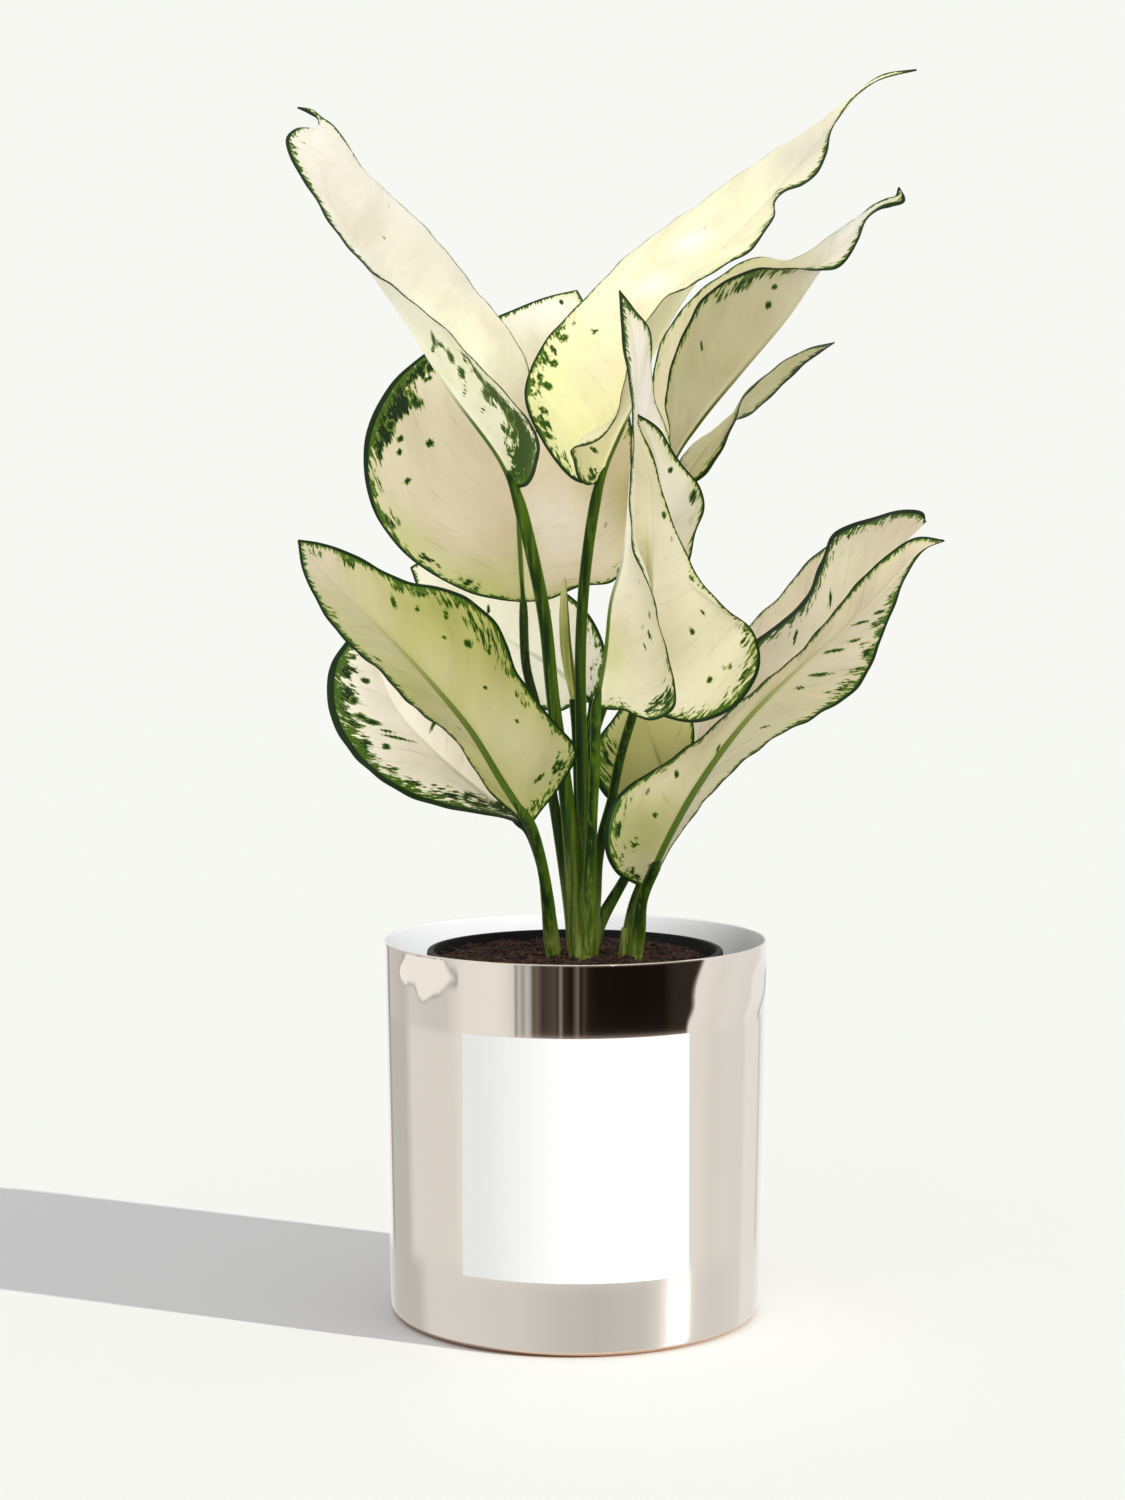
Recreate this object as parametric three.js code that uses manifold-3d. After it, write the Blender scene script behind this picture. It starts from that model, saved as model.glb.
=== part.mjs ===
// A potted Chinese evergreen with cream leaves, in millimetres, +Z up.
// The origin is the middle of the outer pot's flat base, and the label faces -Y.
import * as THREE from "three";
import { mergeVertices } from "three/addons/utils/BufferGeometryUtils.js";
import Module from "manifold-3d";

const wasm = await Module();
wasm.setup();

// Outer pot: a spun metal cup, a little wider at its rim than at its base.
const POT_HEIGHT = 137;
const POT_RIM_RADIUS = 70;
const POT_BASE_RADIUS = 67.5;
const POT_WALL = 1;
const POT_FLOOR = 1.2;
const POT_EDGE_ROUND = 4;

// Inner pot: black plastic, standing on the outer pot's floor.
const SEAT_GAP = 0.3;
const INNER_BASE_Z = POT_FLOOR + SEAT_GAP;
const INNER_TOP_Z = 133;
const INNER_RIM_RADIUS = 55.5;
const INNER_BODY_RADIUS = 53.5;
const INNER_BASE_RADIUS = 43;
const INNER_LIP_HEIGHT = 7;
const INNER_WALL = 1.1;
const DRAIN_COUNT = 6;
const DRAIN_RADIUS = 4;
const DRAIN_CIRCLE = 30;

// Label: a sheet of paper bent round the front of the outer pot.
const LABEL_LOW_Z = 26.5;
const LABEL_HIGH_Z = 111.5;
const LABEL_FROM_DEG = -34.5;
const LABEL_TO_DEG = 34.5;
const LABEL_THICK = 0.5;

// Soil: a crumbly top a little below the inner pot's rim.
const SOIL_TOP_Z = 127.5;
const SOIL_CRUMB = 1.1;
const SOIL_SIDES = 36;
const SOIL_RINGS = 6;
// Crossed waves that make the crumbs: turns per mm along X and Y, where each starts, its share.
const CRUMB_WAVES = [
  { x: 0.31, y: 0.27, start: 0.5, share: 0.5 },
  { x: 0.31, y: -0.27, start: 1.3, share: 0.5 },
  { x: 0.62, y: -0.5, start: 0, share: 0.6 },
  { x: 0.55, y: 0.71, start: 1.6, share: 0.5 },
];

// Shoots: each stands in a plain hole in the soil on a shaft, wrapped in a short sheath.
const SHAFT_DEPTH = 22;
const SHAFT_CLEARANCE = 0.4;
const SHAFT_COLLAR = 3;
const SHEATH_TOP_SHARE = 0.55;
const SHAFT_HOLE_ABOVE_SOIL = 12;
const SHAFT_SIDES = 12;

// Leaf blades and their stalks.
const BLADE_THICK = 0.8;
const BLADE_STEPS = 18;
const BLADE_BASE_CROWDING = 1.3;
const BLADE_COLUMNS = [0.34, 0.68, 1];
const BLADE_END_HALF_WIDTH = 0.8;
// Below this width a blade's thickness turns to one common way, so its ends don't fold over.
const BLADE_NARROW = 2;
const BLADE_WIDE = 12;
const MARGIN_WAVE_SHIFT = 2;
const RIB_HALF_WIDTH = 1.5;
const RIB_MOST_SHARE = 0.3;
const RIB_HEIGHT = 1.5;
const RIB_FULL_WIDTH = 9;
const STALK_FOOT_RADIUS = 2.8;
const STALK_TOP_RADIUS = 1.7;
const STALK_SIDES = 8;
const STALK_STEPS_PER_POINT = 2;
const STALK_GAP = 0.8;
const ROLLED_LEAF_STEPS = 10;

const ROUND_STEPS = 60;
const ROUNDING_STEPS = 4;
const DRAIN_SIDES = 12;
const LABEL_STEPS = 14;
const MERGE_DISTANCE = 1e-4;

// Each shoot stands in the soil on shafts [x, y, radius, sheath height].
const SHOOTS = [
  { name: "stems_centre", shafts: [[3, -0.5, 5.4, 26], [3.5, 4.5, 5.2, 22]] },
  { name: "stem_left", shafts: [[-8, -2.5, 2.7, 10], [-8, 1, 2.7, 10]] },
  { name: "stem_right", shafts: [[22, -2, 2.8, 10], [18.5, 0.5, 2.8, 10]] },
];

// Each leaf is four curves, chosen by hand. Its rib runs from base to tip. Its left and right
// margins run between those two ends, as seen on the upper face with the tip pointing away.
// Its stalk runs from the rib's first point down to a shaft of its shoot.
// arch swells each half upwards as a share of its width, and waves ripple its margins in mm.
const LEAVES = [
  {
    name: "leaf_top_left",
    shoot: "stems_centre",
    arch: 0.06,
    wave: 1.0,
    waves: 3,
    wavePhase: 0,
    rib: [
      [-21, -6, 300], [-28, -2, 313], [-45, 2, 336], [-61, 2, 361], [-76, -2, 382],
      [-86, -10, 400], [-91, -14, 415], [-94, -8, 425], [-93, 2, 432], [-100, 5, 437],
    ],
    left: [
      [-17, -14, 301], [-14, -24, 307], [-13, -33, 316], [-19, -38, 327], [-41, -38, 349],
      [-61, -34, 367], [-79, -28, 384], [-92, -24, 401], [-100, -20, 415], [-102, -14, 423],
      [-99, -4, 429],
    ],
    right: [
      [-18, 4, 307], [-15, 12, 314], [-14, 22, 331], [-22, 26, 355], [-39, 26, 378],
      [-57, 18, 397], [-72, 6, 411], [-81, -2, 423], [-89, 4, 432],
    ],
    stalk: [
      [-15, -5, 274], [-11, -3, 253], [-8, -2, 224], [-3, -2, 187], [0, -1, 151], [1, 0, 132],
    ],
  },
  {
    name: "leaf_top_right",
    shoot: "stems_centre",
    arch: 0.06,
    wave: 1.0,
    waves: 3,
    wavePhase: 0,
    rib: [
      [8, -10, 302], [13, -6, 314], [21, -2, 332], [29, 0, 351], [39, -2, 369], [52, -6, 385],
      [72, -10, 406], [90, -12, 427], [101, -10, 440], [121, -8, 448],
    ],
    left: [
      [2, -10, 302], [-3, -10, 305], [-13, -7, 319], [-18, -4, 334], [-11, 2, 353], [5, 12, 370],
      [28, 20, 393], [53, 16, 410], [77, 4, 424], [93, -4, 435],
    ],
    right: [
      [4, -16, 301], [-1, -22, 307], [4, -30, 315], [14, -31, 326], [20, -24, 344],
      [30, -26, 365], [47, -32, 375], [65, -34, 386], [71, -32, 399], [82, -28, 408],
      [89, -22, 424], [100, -14, 438],
    ],
    stalk: [[4, -6, 274], [2, -4, 245], [2, -3, 221], [3, -2, 187], [4, 0, 150], [4, 0, 132]],
  },
  {
    name: "leaf_back_round",
    shoot: "stems_centre",
    arch: 0.06,
    wave: 1.2,
    waves: 3,
    wavePhase: 0,
    rib: [
      [-19, 16, 259], [-20, 20, 274], [-21, 30, 297], [-18, 44, 323], [-10, 60, 351],
      [1, 76, 379],
    ],
    left: [
      [-28, 14, 260], [-40, 14, 263], [-61, 16, 276], [-75, 22, 295], [-78, 32, 319],
      [-69, 44, 341], [-57, 50, 352], [-40, 58, 362], [-13, 70, 375],
    ],
    right: [
      [-10, 15, 260], [2, 16, 265], [14, 18, 267], [21, 24, 280], [23, 34, 304], [20, 48, 331],
      [12, 64, 357],
    ],
    stalk: [[-18, 12, 236], [-14, 9, 220], [-8, 6, 187], [-2, 4, 150], [0, 3, 132]],
  },
  {
    name: "leaf_right_upper",
    shoot: "stems_centre",
    arch: 0.06,
    wave: 0.8,
    waves: 3,
    wavePhase: 0,
    rib: [
      [30, 24, 289], [36, 26, 311], [46, 26, 326], [61, 24, 344], [78, 22, 364], [90, 18, 381],
      [100, 14, 392], [109, 10, 402], [117, 8, 408],
    ],
    left: [
      [29, 34, 302], [28, 42, 327], [32, 50, 354], [47, 52, 376], [66, 46, 388], [82, 36, 386],
      [96, 24, 395], [106, 14, 400],
    ],
    right: [
      [32, 12, 300], [34, 6, 321], [33, 4, 333], [37, 0, 351], [45, -2, 368], [59, -2, 377],
      [77, 2, 379], [89, 6, 379], [99, 6, 386], [106, 6, 397],
    ],
    stalk: [[24, 17, 263], [14, 12, 238], [7, 10, 217], [5, 9, 194], [4, 5, 131]],
  },
  {
    name: "leaf_front_tall",
    shoot: "stems_centre",
    arch: 0.03,
    wave: 0.8,
    waves: 3,
    wavePhase: 0,
    rib: [
      [8, -30, 222], [11, -30, 241], [13, -31, 260], [17, -32, 274], [19, -35, 295],
      [20, -38, 319], [21, -41, 340], [19, -42, 355], [15, -42, 367],
    ],
    left: [
      [13, -36, 222], [17, -41, 222], [26, -47, 219], [34, -52, 224], [34, -55, 233],
      [29, -57, 250], [25, -58, 264], [19, -58, 278], [19, -58, 294], [19, -58, 315],
      [18, -56, 333], [16, -50, 351],
    ],
    right: [
      [9, -20, 228], [11, -14, 237], [16, -8, 253], [22, -6, 274], [27, -8, 296], [33, -12, 315],
      [28, -18, 331], [27, -25, 344], [26, -30, 354], [20, -38, 361],
    ],
    stalk: [[7, -22, 203], [6, -13, 181], [5, -6, 151], [5, -3, 132]],
  },
  {
    name: "leaf_front_lobed",
    shoot: "stems_centre",
    arch: 0.06,
    wave: 0.8,
    waves: 3,
    wavePhase: 0,
    rib: [
      [22, -30, 225], [25, -32, 241], [26, -35, 260], [26, -38, 281], [25, -41, 302],
      [22, -48, 322],
    ],
    left: [
      [29, -28, 220], [43, -24, 217], [57, -20, 223], [65, -20, 236], [63, -23, 249],
      [46, -28, 263], [38, -31, 278], [31, -35, 296], [26, -41, 313],
    ],
    right: [
      [20, -27, 228], [16, -24, 235], [18, -23, 255], [22, -25, 271], [23, -29, 288],
      [23, -37, 305], [23, -44, 315],
    ],
    stalk: [
      [20, -27, 219], [16, -18, 204], [13, -10, 188], [10, -6, 176], [8, -4, 165], [7, -3, 151],
      [5, -2, 132],
    ],
  },
  {
    name: "leaf_front_inner",
    shoot: "stems_centre",
    arch: 0.06,
    wave: 0.6,
    waves: 3,
    wavePhase: 0,
    rib: [
      [27, -8, 253], [29, -14, 271], [31, -20, 288], [29, -26, 306], [26, -34, 318],
      [23, -42, 325],
    ],
    left: [
      [36, -2, 260], [42, -6, 280], [46, -10, 293], [44, -14, 300], [36, -21, 310],
      [30, -30, 320],
    ],
    right: [[24, -10, 263], [24, -18, 281], [25, -27, 299], [25, -36, 312]],
    stalk: [[20, -3, 240], [11, 2, 223], [6, 4, 205], [5, 4, 168], [4, 3, 132]],
  },
  {
    name: "leaf_right_slim",
    shoot: "stems_centre",
    arch: 0.06,
    wave: 0.6,
    waves: 2,
    wavePhase: 0,
    rib: [
      [39, 22, 296], [43, 24, 307], [52, 26, 319], [60, 26, 328], [70, 24, 339], [83, 20, 349],
      [95, 16, 354],
    ],
    left: [
      [39, 34, 309], [43, 42, 317], [59, 46, 327], [68, 44, 330], [78, 38, 340], [86, 28, 348],
    ],
    right: [
      [42, 14, 301], [48, 8, 307], [53, 6, 314], [58, 4, 324], [63, 4, 335], [72, 8, 344],
      [84, 14, 351],
    ],
    stalk: [[32, 20, 274], [20, 17, 245], [9, 15, 221], [5, 13, 195], [4, 6, 131]],
  },
  {
    name: "leaf_left_low",
    shoot: "stem_left",
    arch: 0.06,
    wave: 1.2,
    waves: 3,
    wavePhase: 0,
    rib: [
      [-16, -20, 180], [-26, -26, 196], [-37, -36, 215], [-50, -46, 232], [-64, -55, 248],
      [-80, -62, 265], [-94, -64, 281],
    ],
    left: [
      [-12, -15, 185], [-6, -9, 192], [0, -6, 205], [-10, -8, 218], [-19, -10, 232],
      [-28, -16, 251], [-44, -26, 263], [-61, -38, 268], [-77, -50, 276], [-88, -58, 280],
    ],
    right: [
      [-22, -12, 184], [-29, -8, 190], [-41, -8, 206], [-54, -18, 220], [-64, -30, 231],
      [-77, -42, 243], [-88, -52, 260], [-93, -58, 271],
    ],
    stalk: [[-12, -13, 165], [-10, -9, 152], [-9, -5, 140], [-8, -3, 132]],
  },
  {
    name: "leaf_left_low_back",
    shoot: "stem_left",
    arch: 0.06,
    wave: 1.2,
    waves: 3,
    wavePhase: 0,
    rib: [
      [-17, -4, 178], [-35, 6, 190], [-54, 16, 206], [-68, 26, 222], [-75, 34, 241],
      [-76, 40, 260],
    ],
    left: [
      [-25, -8, 181], [-39, -10, 184], [-54, -8, 188], [-70, -4, 194], [-82, 6, 205],
      [-91, 18, 221], [-91, 28, 235], [-83, 36, 248],
    ],
    right: [[-21, 8, 190], [-31, 16, 204], [-42, 24, 220], [-51, 32, 237], [-62, 38, 252]],
    stalk: [[-12, -1, 163], [-10, 0, 149], [-8, 1, 132]],
  },
  {
    name: "leaf_back_pink",
    shoot: "stems_centre",
    arch: 0.06,
    wave: 1.0,
    waves: 3,
    wavePhase: 0,
    rib: [[6, 26, 222], [-6, 32, 233], [-24, 42, 244], [-44, 52, 257], [-63, 62, 272]],
    left: [[1, 28, 221], [-7, 32, 218], [-24, 40, 225], [-43, 50, 240], [-57, 58, 257]],
    right: [
      [11, 26, 232], [11, 28, 241], [6, 34, 253], [-9, 46, 266], [-32, 56, 278], [-52, 62, 278],
    ],
    stalk: [[3, 19, 200], [3, 12, 167], [2, 7, 131]],
  },
  {
    name: "leaf_right_low",
    shoot: "stem_right",
    arch: 0.06,
    wave: 1.0,
    waves: 3,
    wavePhase: 0,
    rib: [
      [25, -8, 156], [33, -20, 175], [44, -30, 196], [59, -40, 218], [77, -48, 237],
      [96, -54, 254], [112, -56, 270], [126, -54, 281],
    ],
    left: [
      [28, -4, 158], [32, -2, 165], [40, -2, 178], [50, -10, 193], [69, -18, 209],
      [86, -28, 221], [100, -36, 232], [109, -46, 253], [116, -52, 274],
    ],
    right: [
      [21, -9, 158], [15, -12, 162], [11, -15, 171], [13, -15, 186], [20, -13, 194],
      [32, -10, 202], [50, -9, 214], [73, -18, 236], [92, -30, 257], [105, -42, 273],
      [117, -50, 282],
    ],
    stalk: [[24, -6, 150], [23, -3, 139], [22, -2, 132]],
  },
  {
    name: "leaf_right_low_back",
    shoot: "stem_right",
    arch: 0.06,
    wave: 0.6,
    waves: 3,
    wavePhase: 0,
    rib: [
      [34, 12, 180], [46, 12, 199], [59, 8, 221], [69, 3, 235], [82, -2, 248], [97, -8, 265],
      [106, -12, 275], [116, -16, 281], [124, -22, 288],
    ],
    left: [
      [35, 28, 192], [47, 34, 220], [63, 32, 247], [76, 24, 262], [89, 14, 277], [100, 4, 283],
      [113, -8, 286],
    ],
    right: [
      [42, 2, 191], [53, -1, 211], [64, -8, 245], [74, -14, 253], [82, -18, 261], [87, -21, 273],
      [91, -24, 284], [103, -28, 289], [116, -27, 292], [123, -24, 291],
    ],
    stalk: [[28, 8, 164], [22, 4, 149], [19, 1, 132]],
  },
  {
    name: "leaf_back_small",
    shoot: "stems_centre",
    arch: 0.06,
    wave: 0.8,
    waves: 2,
    wavePhase: 0,
    rib: [[32, 10, 189], [31, 6, 200], [27, 4, 212], [26, 6, 225], [27, 8, 236]],
    left: [[27, 4, 191], [14, -2, 187], [7, -4, 198], [8, -3, 209], [14, 0, 217], [21, 4, 227]],
    right: [[39, 8, 194], [43, 6, 207], [42, 6, 218], [35, 8, 230]],
    stalk: [[28, 10, 175], [18, 9, 157], [9, 7, 141], [6, 6, 131]],
  },
];

// The youngest leaf is still rolled up, and stands on its own stalk.
const NEW_LEAF = {
  name: "new_leaf",
  shoot: "stems_centre",
  footRadius: 2.6,
  tipRadius: 0.5,
  rib: [[0, 3, 224], [-3, 3, 242], [-4, 3, 256], [-4, 2, 268]],
  stalk: [[1, 3, 194], [2, 2, 157], [3, 2, 132]],
};


// Turns a three.js geometry into a solid that can be joined and cut.
function solidFrom(geometry) {
  const bare = geometry.clone();
  bare.deleteAttribute("normal");
  bare.deleteAttribute("uv");
  const merged = mergeVertices(bare, MERGE_DISTANCE);
  return new wasm.Manifold(
    new wasm.Mesh({
      numProp: 3,
      vertProperties: merged.attributes.position.array,
      triVerts: new Uint32Array(merged.index.array),
    }),
  );
}

// Builds a geometry from a list of points and a list of corner numbers.
function geometryFrom(points, corners) {
  const geometry = new THREE.BufferGeometry();
  geometry.setAttribute(
    "position",
    new THREE.Float32BufferAttribute(points.flatMap((p) => [p.x, p.y, p.z]), 3),
  );
  geometry.setIndex(corners);
  return geometry;
}

// Turns a joined or cut solid back into a named mesh.
function meshFrom(name, solid, material) {
  const { numProp, vertProperties, triVerts } = solid.getMesh();
  const points = [];
  for (let i = 0; i < vertProperties.length; i += numProp)
    points.push(new THREE.Vector3().fromArray(vertProperties, i));
  return namedMesh(name, geometryFrom(points, [...triVerts]), material);
}

function namedMesh(name, geometry, material) {
  geometry.computeVertexNormals();
  const mesh = new THREE.Mesh(geometry, material);
  mesh.name = name;
  return mesh;
}

// Turns a profile of [radius, height] pairs about the Z axis.
function turned(profile, steps = ROUND_STEPS) {
  const points = profile.map(([radius, height]) => new THREE.Vector2(radius, height));
  return new THREE.LatheGeometry(points, steps).rotateX(Math.PI / 2);
}

// Points on a quarter circle, for a rounded edge in a profile.
function quarterRound(centreRadius, centreHeight, round, fromDeg, toDeg) {
  return Array.from({ length: ROUNDING_STEPS + 1 }, (_, i) => {
    const turn = fromDeg + ((toDeg - fromDeg) * i) / ROUNDING_STEPS;
    const angle = THREE.MathUtils.degToRad(turn);
    return [
      centreRadius + round * Math.cos(angle),
      centreHeight + round * Math.sin(angle),
    ];
  });
}

// The outer pot's wall leans out evenly from base to rim.
function potRadiusAt(height) {
  return POT_BASE_RADIUS + ((POT_RIM_RADIUS - POT_BASE_RADIUS) * height) / POT_HEIGHT;
}

function outerPot() {
  const inside = POT_EDGE_ROUND - POT_WALL;
  return turned([
    [0, 0],
    ...quarterRound(POT_BASE_RADIUS - POT_EDGE_ROUND, POT_EDGE_ROUND, POT_EDGE_ROUND, -90, 0),
    [POT_RIM_RADIUS, POT_HEIGHT],
    [POT_RIM_RADIUS - POT_WALL, POT_HEIGHT],
    ...quarterRound(
      POT_BASE_RADIUS - POT_WALL - inside, POT_FLOOR + inside, inside, 0, -90,
    ),
    [0, POT_FLOOR],
  ]);
}

// The inner pot's wall radius on its outside, under the lip.
function innerRadiusAt(height) {
  const share = (height - INNER_BASE_Z) / (INNER_TOP_Z - INNER_BASE_Z);
  return INNER_BASE_RADIUS + (INNER_BODY_RADIUS - INNER_BASE_RADIUS) * share;
}

function innerPot() {
  const lipLow = INNER_TOP_Z - INNER_LIP_HEIGHT;
  const floorTop = INNER_BASE_Z + INNER_WALL;
  let cup = solidFrom(
    turned([
      [0, INNER_BASE_Z],
      [INNER_BASE_RADIUS, INNER_BASE_Z],
      [innerRadiusAt(lipLow), lipLow],
      [INNER_RIM_RADIUS, lipLow],
      [INNER_RIM_RADIUS, INNER_TOP_Z],
      [INNER_BODY_RADIUS - INNER_WALL, INNER_TOP_Z],
      [innerRadiusAt(floorTop) - INNER_WALL, floorTop],
      [0, floorTop],
    ]),
  );
  for (let i = 0; i < DRAIN_COUNT; i += 1) {
    const angle = (2 * Math.PI * i) / DRAIN_COUNT;
    const reach = 6 * INNER_WALL;
    const drill = new THREE.CylinderGeometry(DRAIN_RADIUS, DRAIN_RADIUS, reach, DRAIN_SIDES);
    drill.rotateX(Math.PI / 2);
    drill.translate(
      DRAIN_CIRCLE * Math.cos(angle), DRAIN_CIRCLE * Math.sin(angle), INNER_BASE_Z,
    );
    cup = cup.subtract(solidFrom(drill));
  }
  return cup;
}

// A sheet of even thickness on the outer pot's wall. Angles run round from the front.
function labelSheet() {
  const points = [];
  const corners = [];
  for (let i = 0; i <= LABEL_STEPS; i += 1) {
    const turn = LABEL_FROM_DEG + ((LABEL_TO_DEG - LABEL_FROM_DEG) * i) / LABEL_STEPS;
    const angle = THREE.MathUtils.degToRad(turn);
    for (const [stand, height] of [
      [SEAT_GAP, LABEL_LOW_Z],
      [SEAT_GAP + LABEL_THICK, LABEL_LOW_Z],
      [SEAT_GAP + LABEL_THICK, LABEL_HIGH_Z],
      [SEAT_GAP, LABEL_HIGH_Z],
    ]) {
      const radius = potRadiusAt(height) + stand;
      points.push(
        new THREE.Vector3(radius * Math.sin(angle), -radius * Math.cos(angle), height),
      );
    }
  }
  for (let i = 0; i < LABEL_STEPS; i += 1)
    for (let side = 0; side < 4; side += 1) {
      const a = 4 * i + side;
      const b = 4 * i + ((side + 1) % 4);
      corners.push(a, a + 4, b, b, a + 4, b + 4);
    }
  const last = 4 * LABEL_STEPS;
  corners.push(0, 1, 2, 0, 2, 3, last, last + 2, last + 1, last, last + 3, last + 2);
  return geometryFrom(points, corners);
}

// Crumbs on the soil, as a sum of a few crossed waves.
function crumb(x, y) {
  return CRUMB_WAVES.reduce(
    (height, wave) =>
      height + SOIL_CRUMB * wave.share * Math.sin(wave.x * x + wave.y * y + wave.start),
    0,
  );
}

function soilBody(shaftHoles) {
  const low = INNER_BASE_Z + INNER_WALL + SEAT_GAP;
  const wallGap = INNER_WALL + SEAT_GAP;
  const points = [new THREE.Vector3(0, 0, SOIL_TOP_Z + crumb(0, 0))];
  const corners = [];
  const ring = (radius, heightAt) => {
    for (let i = 0; i < SOIL_SIDES; i += 1) {
      const angle = (2 * Math.PI * i) / SOIL_SIDES;
      const x = radius * Math.cos(angle);
      const y = radius * Math.sin(angle);
      points.push(new THREE.Vector3(x, y, heightAt(x, y)));
    }
  };
  // The pot's flat sides lie inside its circle, so the soil's corners stay inside them too.
  const flats = Math.cos(Math.PI / ROUND_STEPS);
  const topRadius = innerRadiusAt(SOIL_TOP_Z) * flats - wallGap;
  for (let r = 1; r <= SOIL_RINGS; r += 1)
    ring((topRadius * r) / SOIL_RINGS, (x, y) => SOIL_TOP_Z + crumb(x, y));
  ring(innerRadiusAt(low) * flats - wallGap, () => low);
  points.push(new THREE.Vector3(0, 0, low));
  const next = (i) => (i + 1) % SOIL_SIDES;
  for (let i = 0; i < SOIL_SIDES; i += 1) {
    corners.push(0, 1 + i, 1 + next(i));
    for (let r = 0; r < SOIL_RINGS; r += 1) {
      const a = 1 + r * SOIL_SIDES + i;
      const b = 1 + r * SOIL_SIDES + next(i);
      corners.push(a, a + SOIL_SIDES, b, b, a + SOIL_SIDES, b + SOIL_SIDES);
    }
    const lowest = 1 + SOIL_RINGS * SOIL_SIDES;
    corners.push(lowest + i, points.length - 1, lowest + next(i));
  }
  let soil = solidFrom(geometryFrom(points, corners));
  for (const hole of shaftHoles) soil = soil.subtract(hole);
  return soil;
}

// A smooth curve through points chosen by hand.
function smoothCurve(points) {
  const along = points.map((p) => new THREE.Vector3(...p));
  return new THREE.CatmullRomCurve3(along, false, "centripetal");
}

// A round stalk that thins evenly along its curve, closed at both ends.
function taperedTube(points, footRadius, topRadius, steps) {
  const curve = smoothCurve(points);
  const frames = curve.computeFrenetFrames(steps, false);
  const ringPoints = [curve.getPointAt(0)];
  const corners = [];
  for (let i = 0; i <= steps; i += 1) {
    const centre = curve.getPointAt(i / steps);
    const radius = footRadius + ((topRadius - footRadius) * i) / steps;
    for (let s = 0; s < STALK_SIDES; s += 1) {
      const angle = (2 * Math.PI * s) / STALK_SIDES;
      ringPoints.push(
        centre
          .clone()
          .addScaledVector(frames.normals[i], radius * Math.cos(angle))
          .addScaledVector(frames.binormals[i], radius * Math.sin(angle)),
      );
    }
  }
  ringPoints.push(curve.getPointAt(1));
  const end = ringPoints.length - 1;
  for (let s = 0; s < STALK_SIDES; s += 1) {
    const n = (s + 1) % STALK_SIDES;
    corners.push(0, 1 + n, 1 + s);
    for (let i = 0; i < steps; i += 1) {
      const a = 1 + i * STALK_SIDES;
      corners.push(a + s, a + n, a + STALK_SIDES + s);
      corners.push(a + n, a + STALK_SIDES + n, a + STALK_SIDES + s);
    }
    const top = 1 + steps * STALK_SIDES;
    corners.push(top + s, top + n, end);
  }
  return geometryFrom(ringPoints, corners);
}

// The part of a shoot that stands in the soil, with a short sheath above it.
function shaftSolid([x, y, radius, sheath]) {
  const low = SOIL_TOP_Z - SHAFT_DEPTH;
  const collar = SOIL_TOP_Z + SHAFT_COLLAR;
  const profile = [
    [0, low],
    [radius, low],
    [radius, collar],
    [SHEATH_TOP_SHARE * radius, collar + sheath],
    [0, collar + sheath],
  ];
  return solidFrom(turned(profile, SHAFT_SIDES).translate(x, y, 0));
}

// The plain hole that a shaft stands in, cut a little wider and deeper.
function shaftHole([x, y, radius]) {
  const low = SOIL_TOP_Z - SHAFT_DEPTH - SHAFT_CLEARANCE;
  const high = SOIL_TOP_Z + SHAFT_HOLE_ABOVE_SOIL;
  const wide = radius + SHAFT_CLEARANCE;
  const profile = [[0, low], [wide, low], [wide, high], [0, high]];
  return solidFrom(turned(profile, SHAFT_SIDES).translate(x, y, 0));
}

// A stalk's route from its foot upwards, stopping just short of the blade that it carries.
function stalkRoute({ rib, stalk }) {
  const [top, below] = [rib[0], stalk[0]].map((p) => new THREE.Vector3(...p));
  const back = below.sub(top).setLength(STALK_GAP);
  return [top.add(back).toArray(), ...stalk].reverse();
}

// A shoot: its shafts and the stalks of its own leaves, joined.
function shootSolid({ name, shafts }) {
  const pieces = shafts.map(shaftSolid);
  for (const leaf of [...LEAVES, NEW_LEAF].filter(({ shoot }) => shoot === name)) {
    const route = stalkRoute(leaf);
    const steps = STALK_STEPS_PER_POINT * route.length;
    pieces.push(solidFrom(taperedTube(route, STALK_FOOT_RADIUS, STALK_TOP_RADIUS, steps)));
  }
  return pieces.reduce((a, b) => a.add(b));
}

// Surface directions of a grid of points: across one way, along the other.
function gridNormals(rows) {
  const last = rows.length - 1;
  return rows.map((row, i) =>
    row.map((_, j) => {
      const across = row[Math.min(j + 1, row.length - 1)]
        .clone()
        .sub(row[Math.max(j - 1, 0)]);
      const along = rows[Math.min(i + 1, last)][j]
        .clone()
        .sub(rows[Math.max(i - 1, 0)][j]);
      return across.cross(along).normalize();
    }),
  );
}

// Share of the blade's length at a row: rows stand closer where the base is rounded.
const stationAt = (i) => (i / BLADE_STEPS) ** BLADE_BASE_CROWDING;

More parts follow.
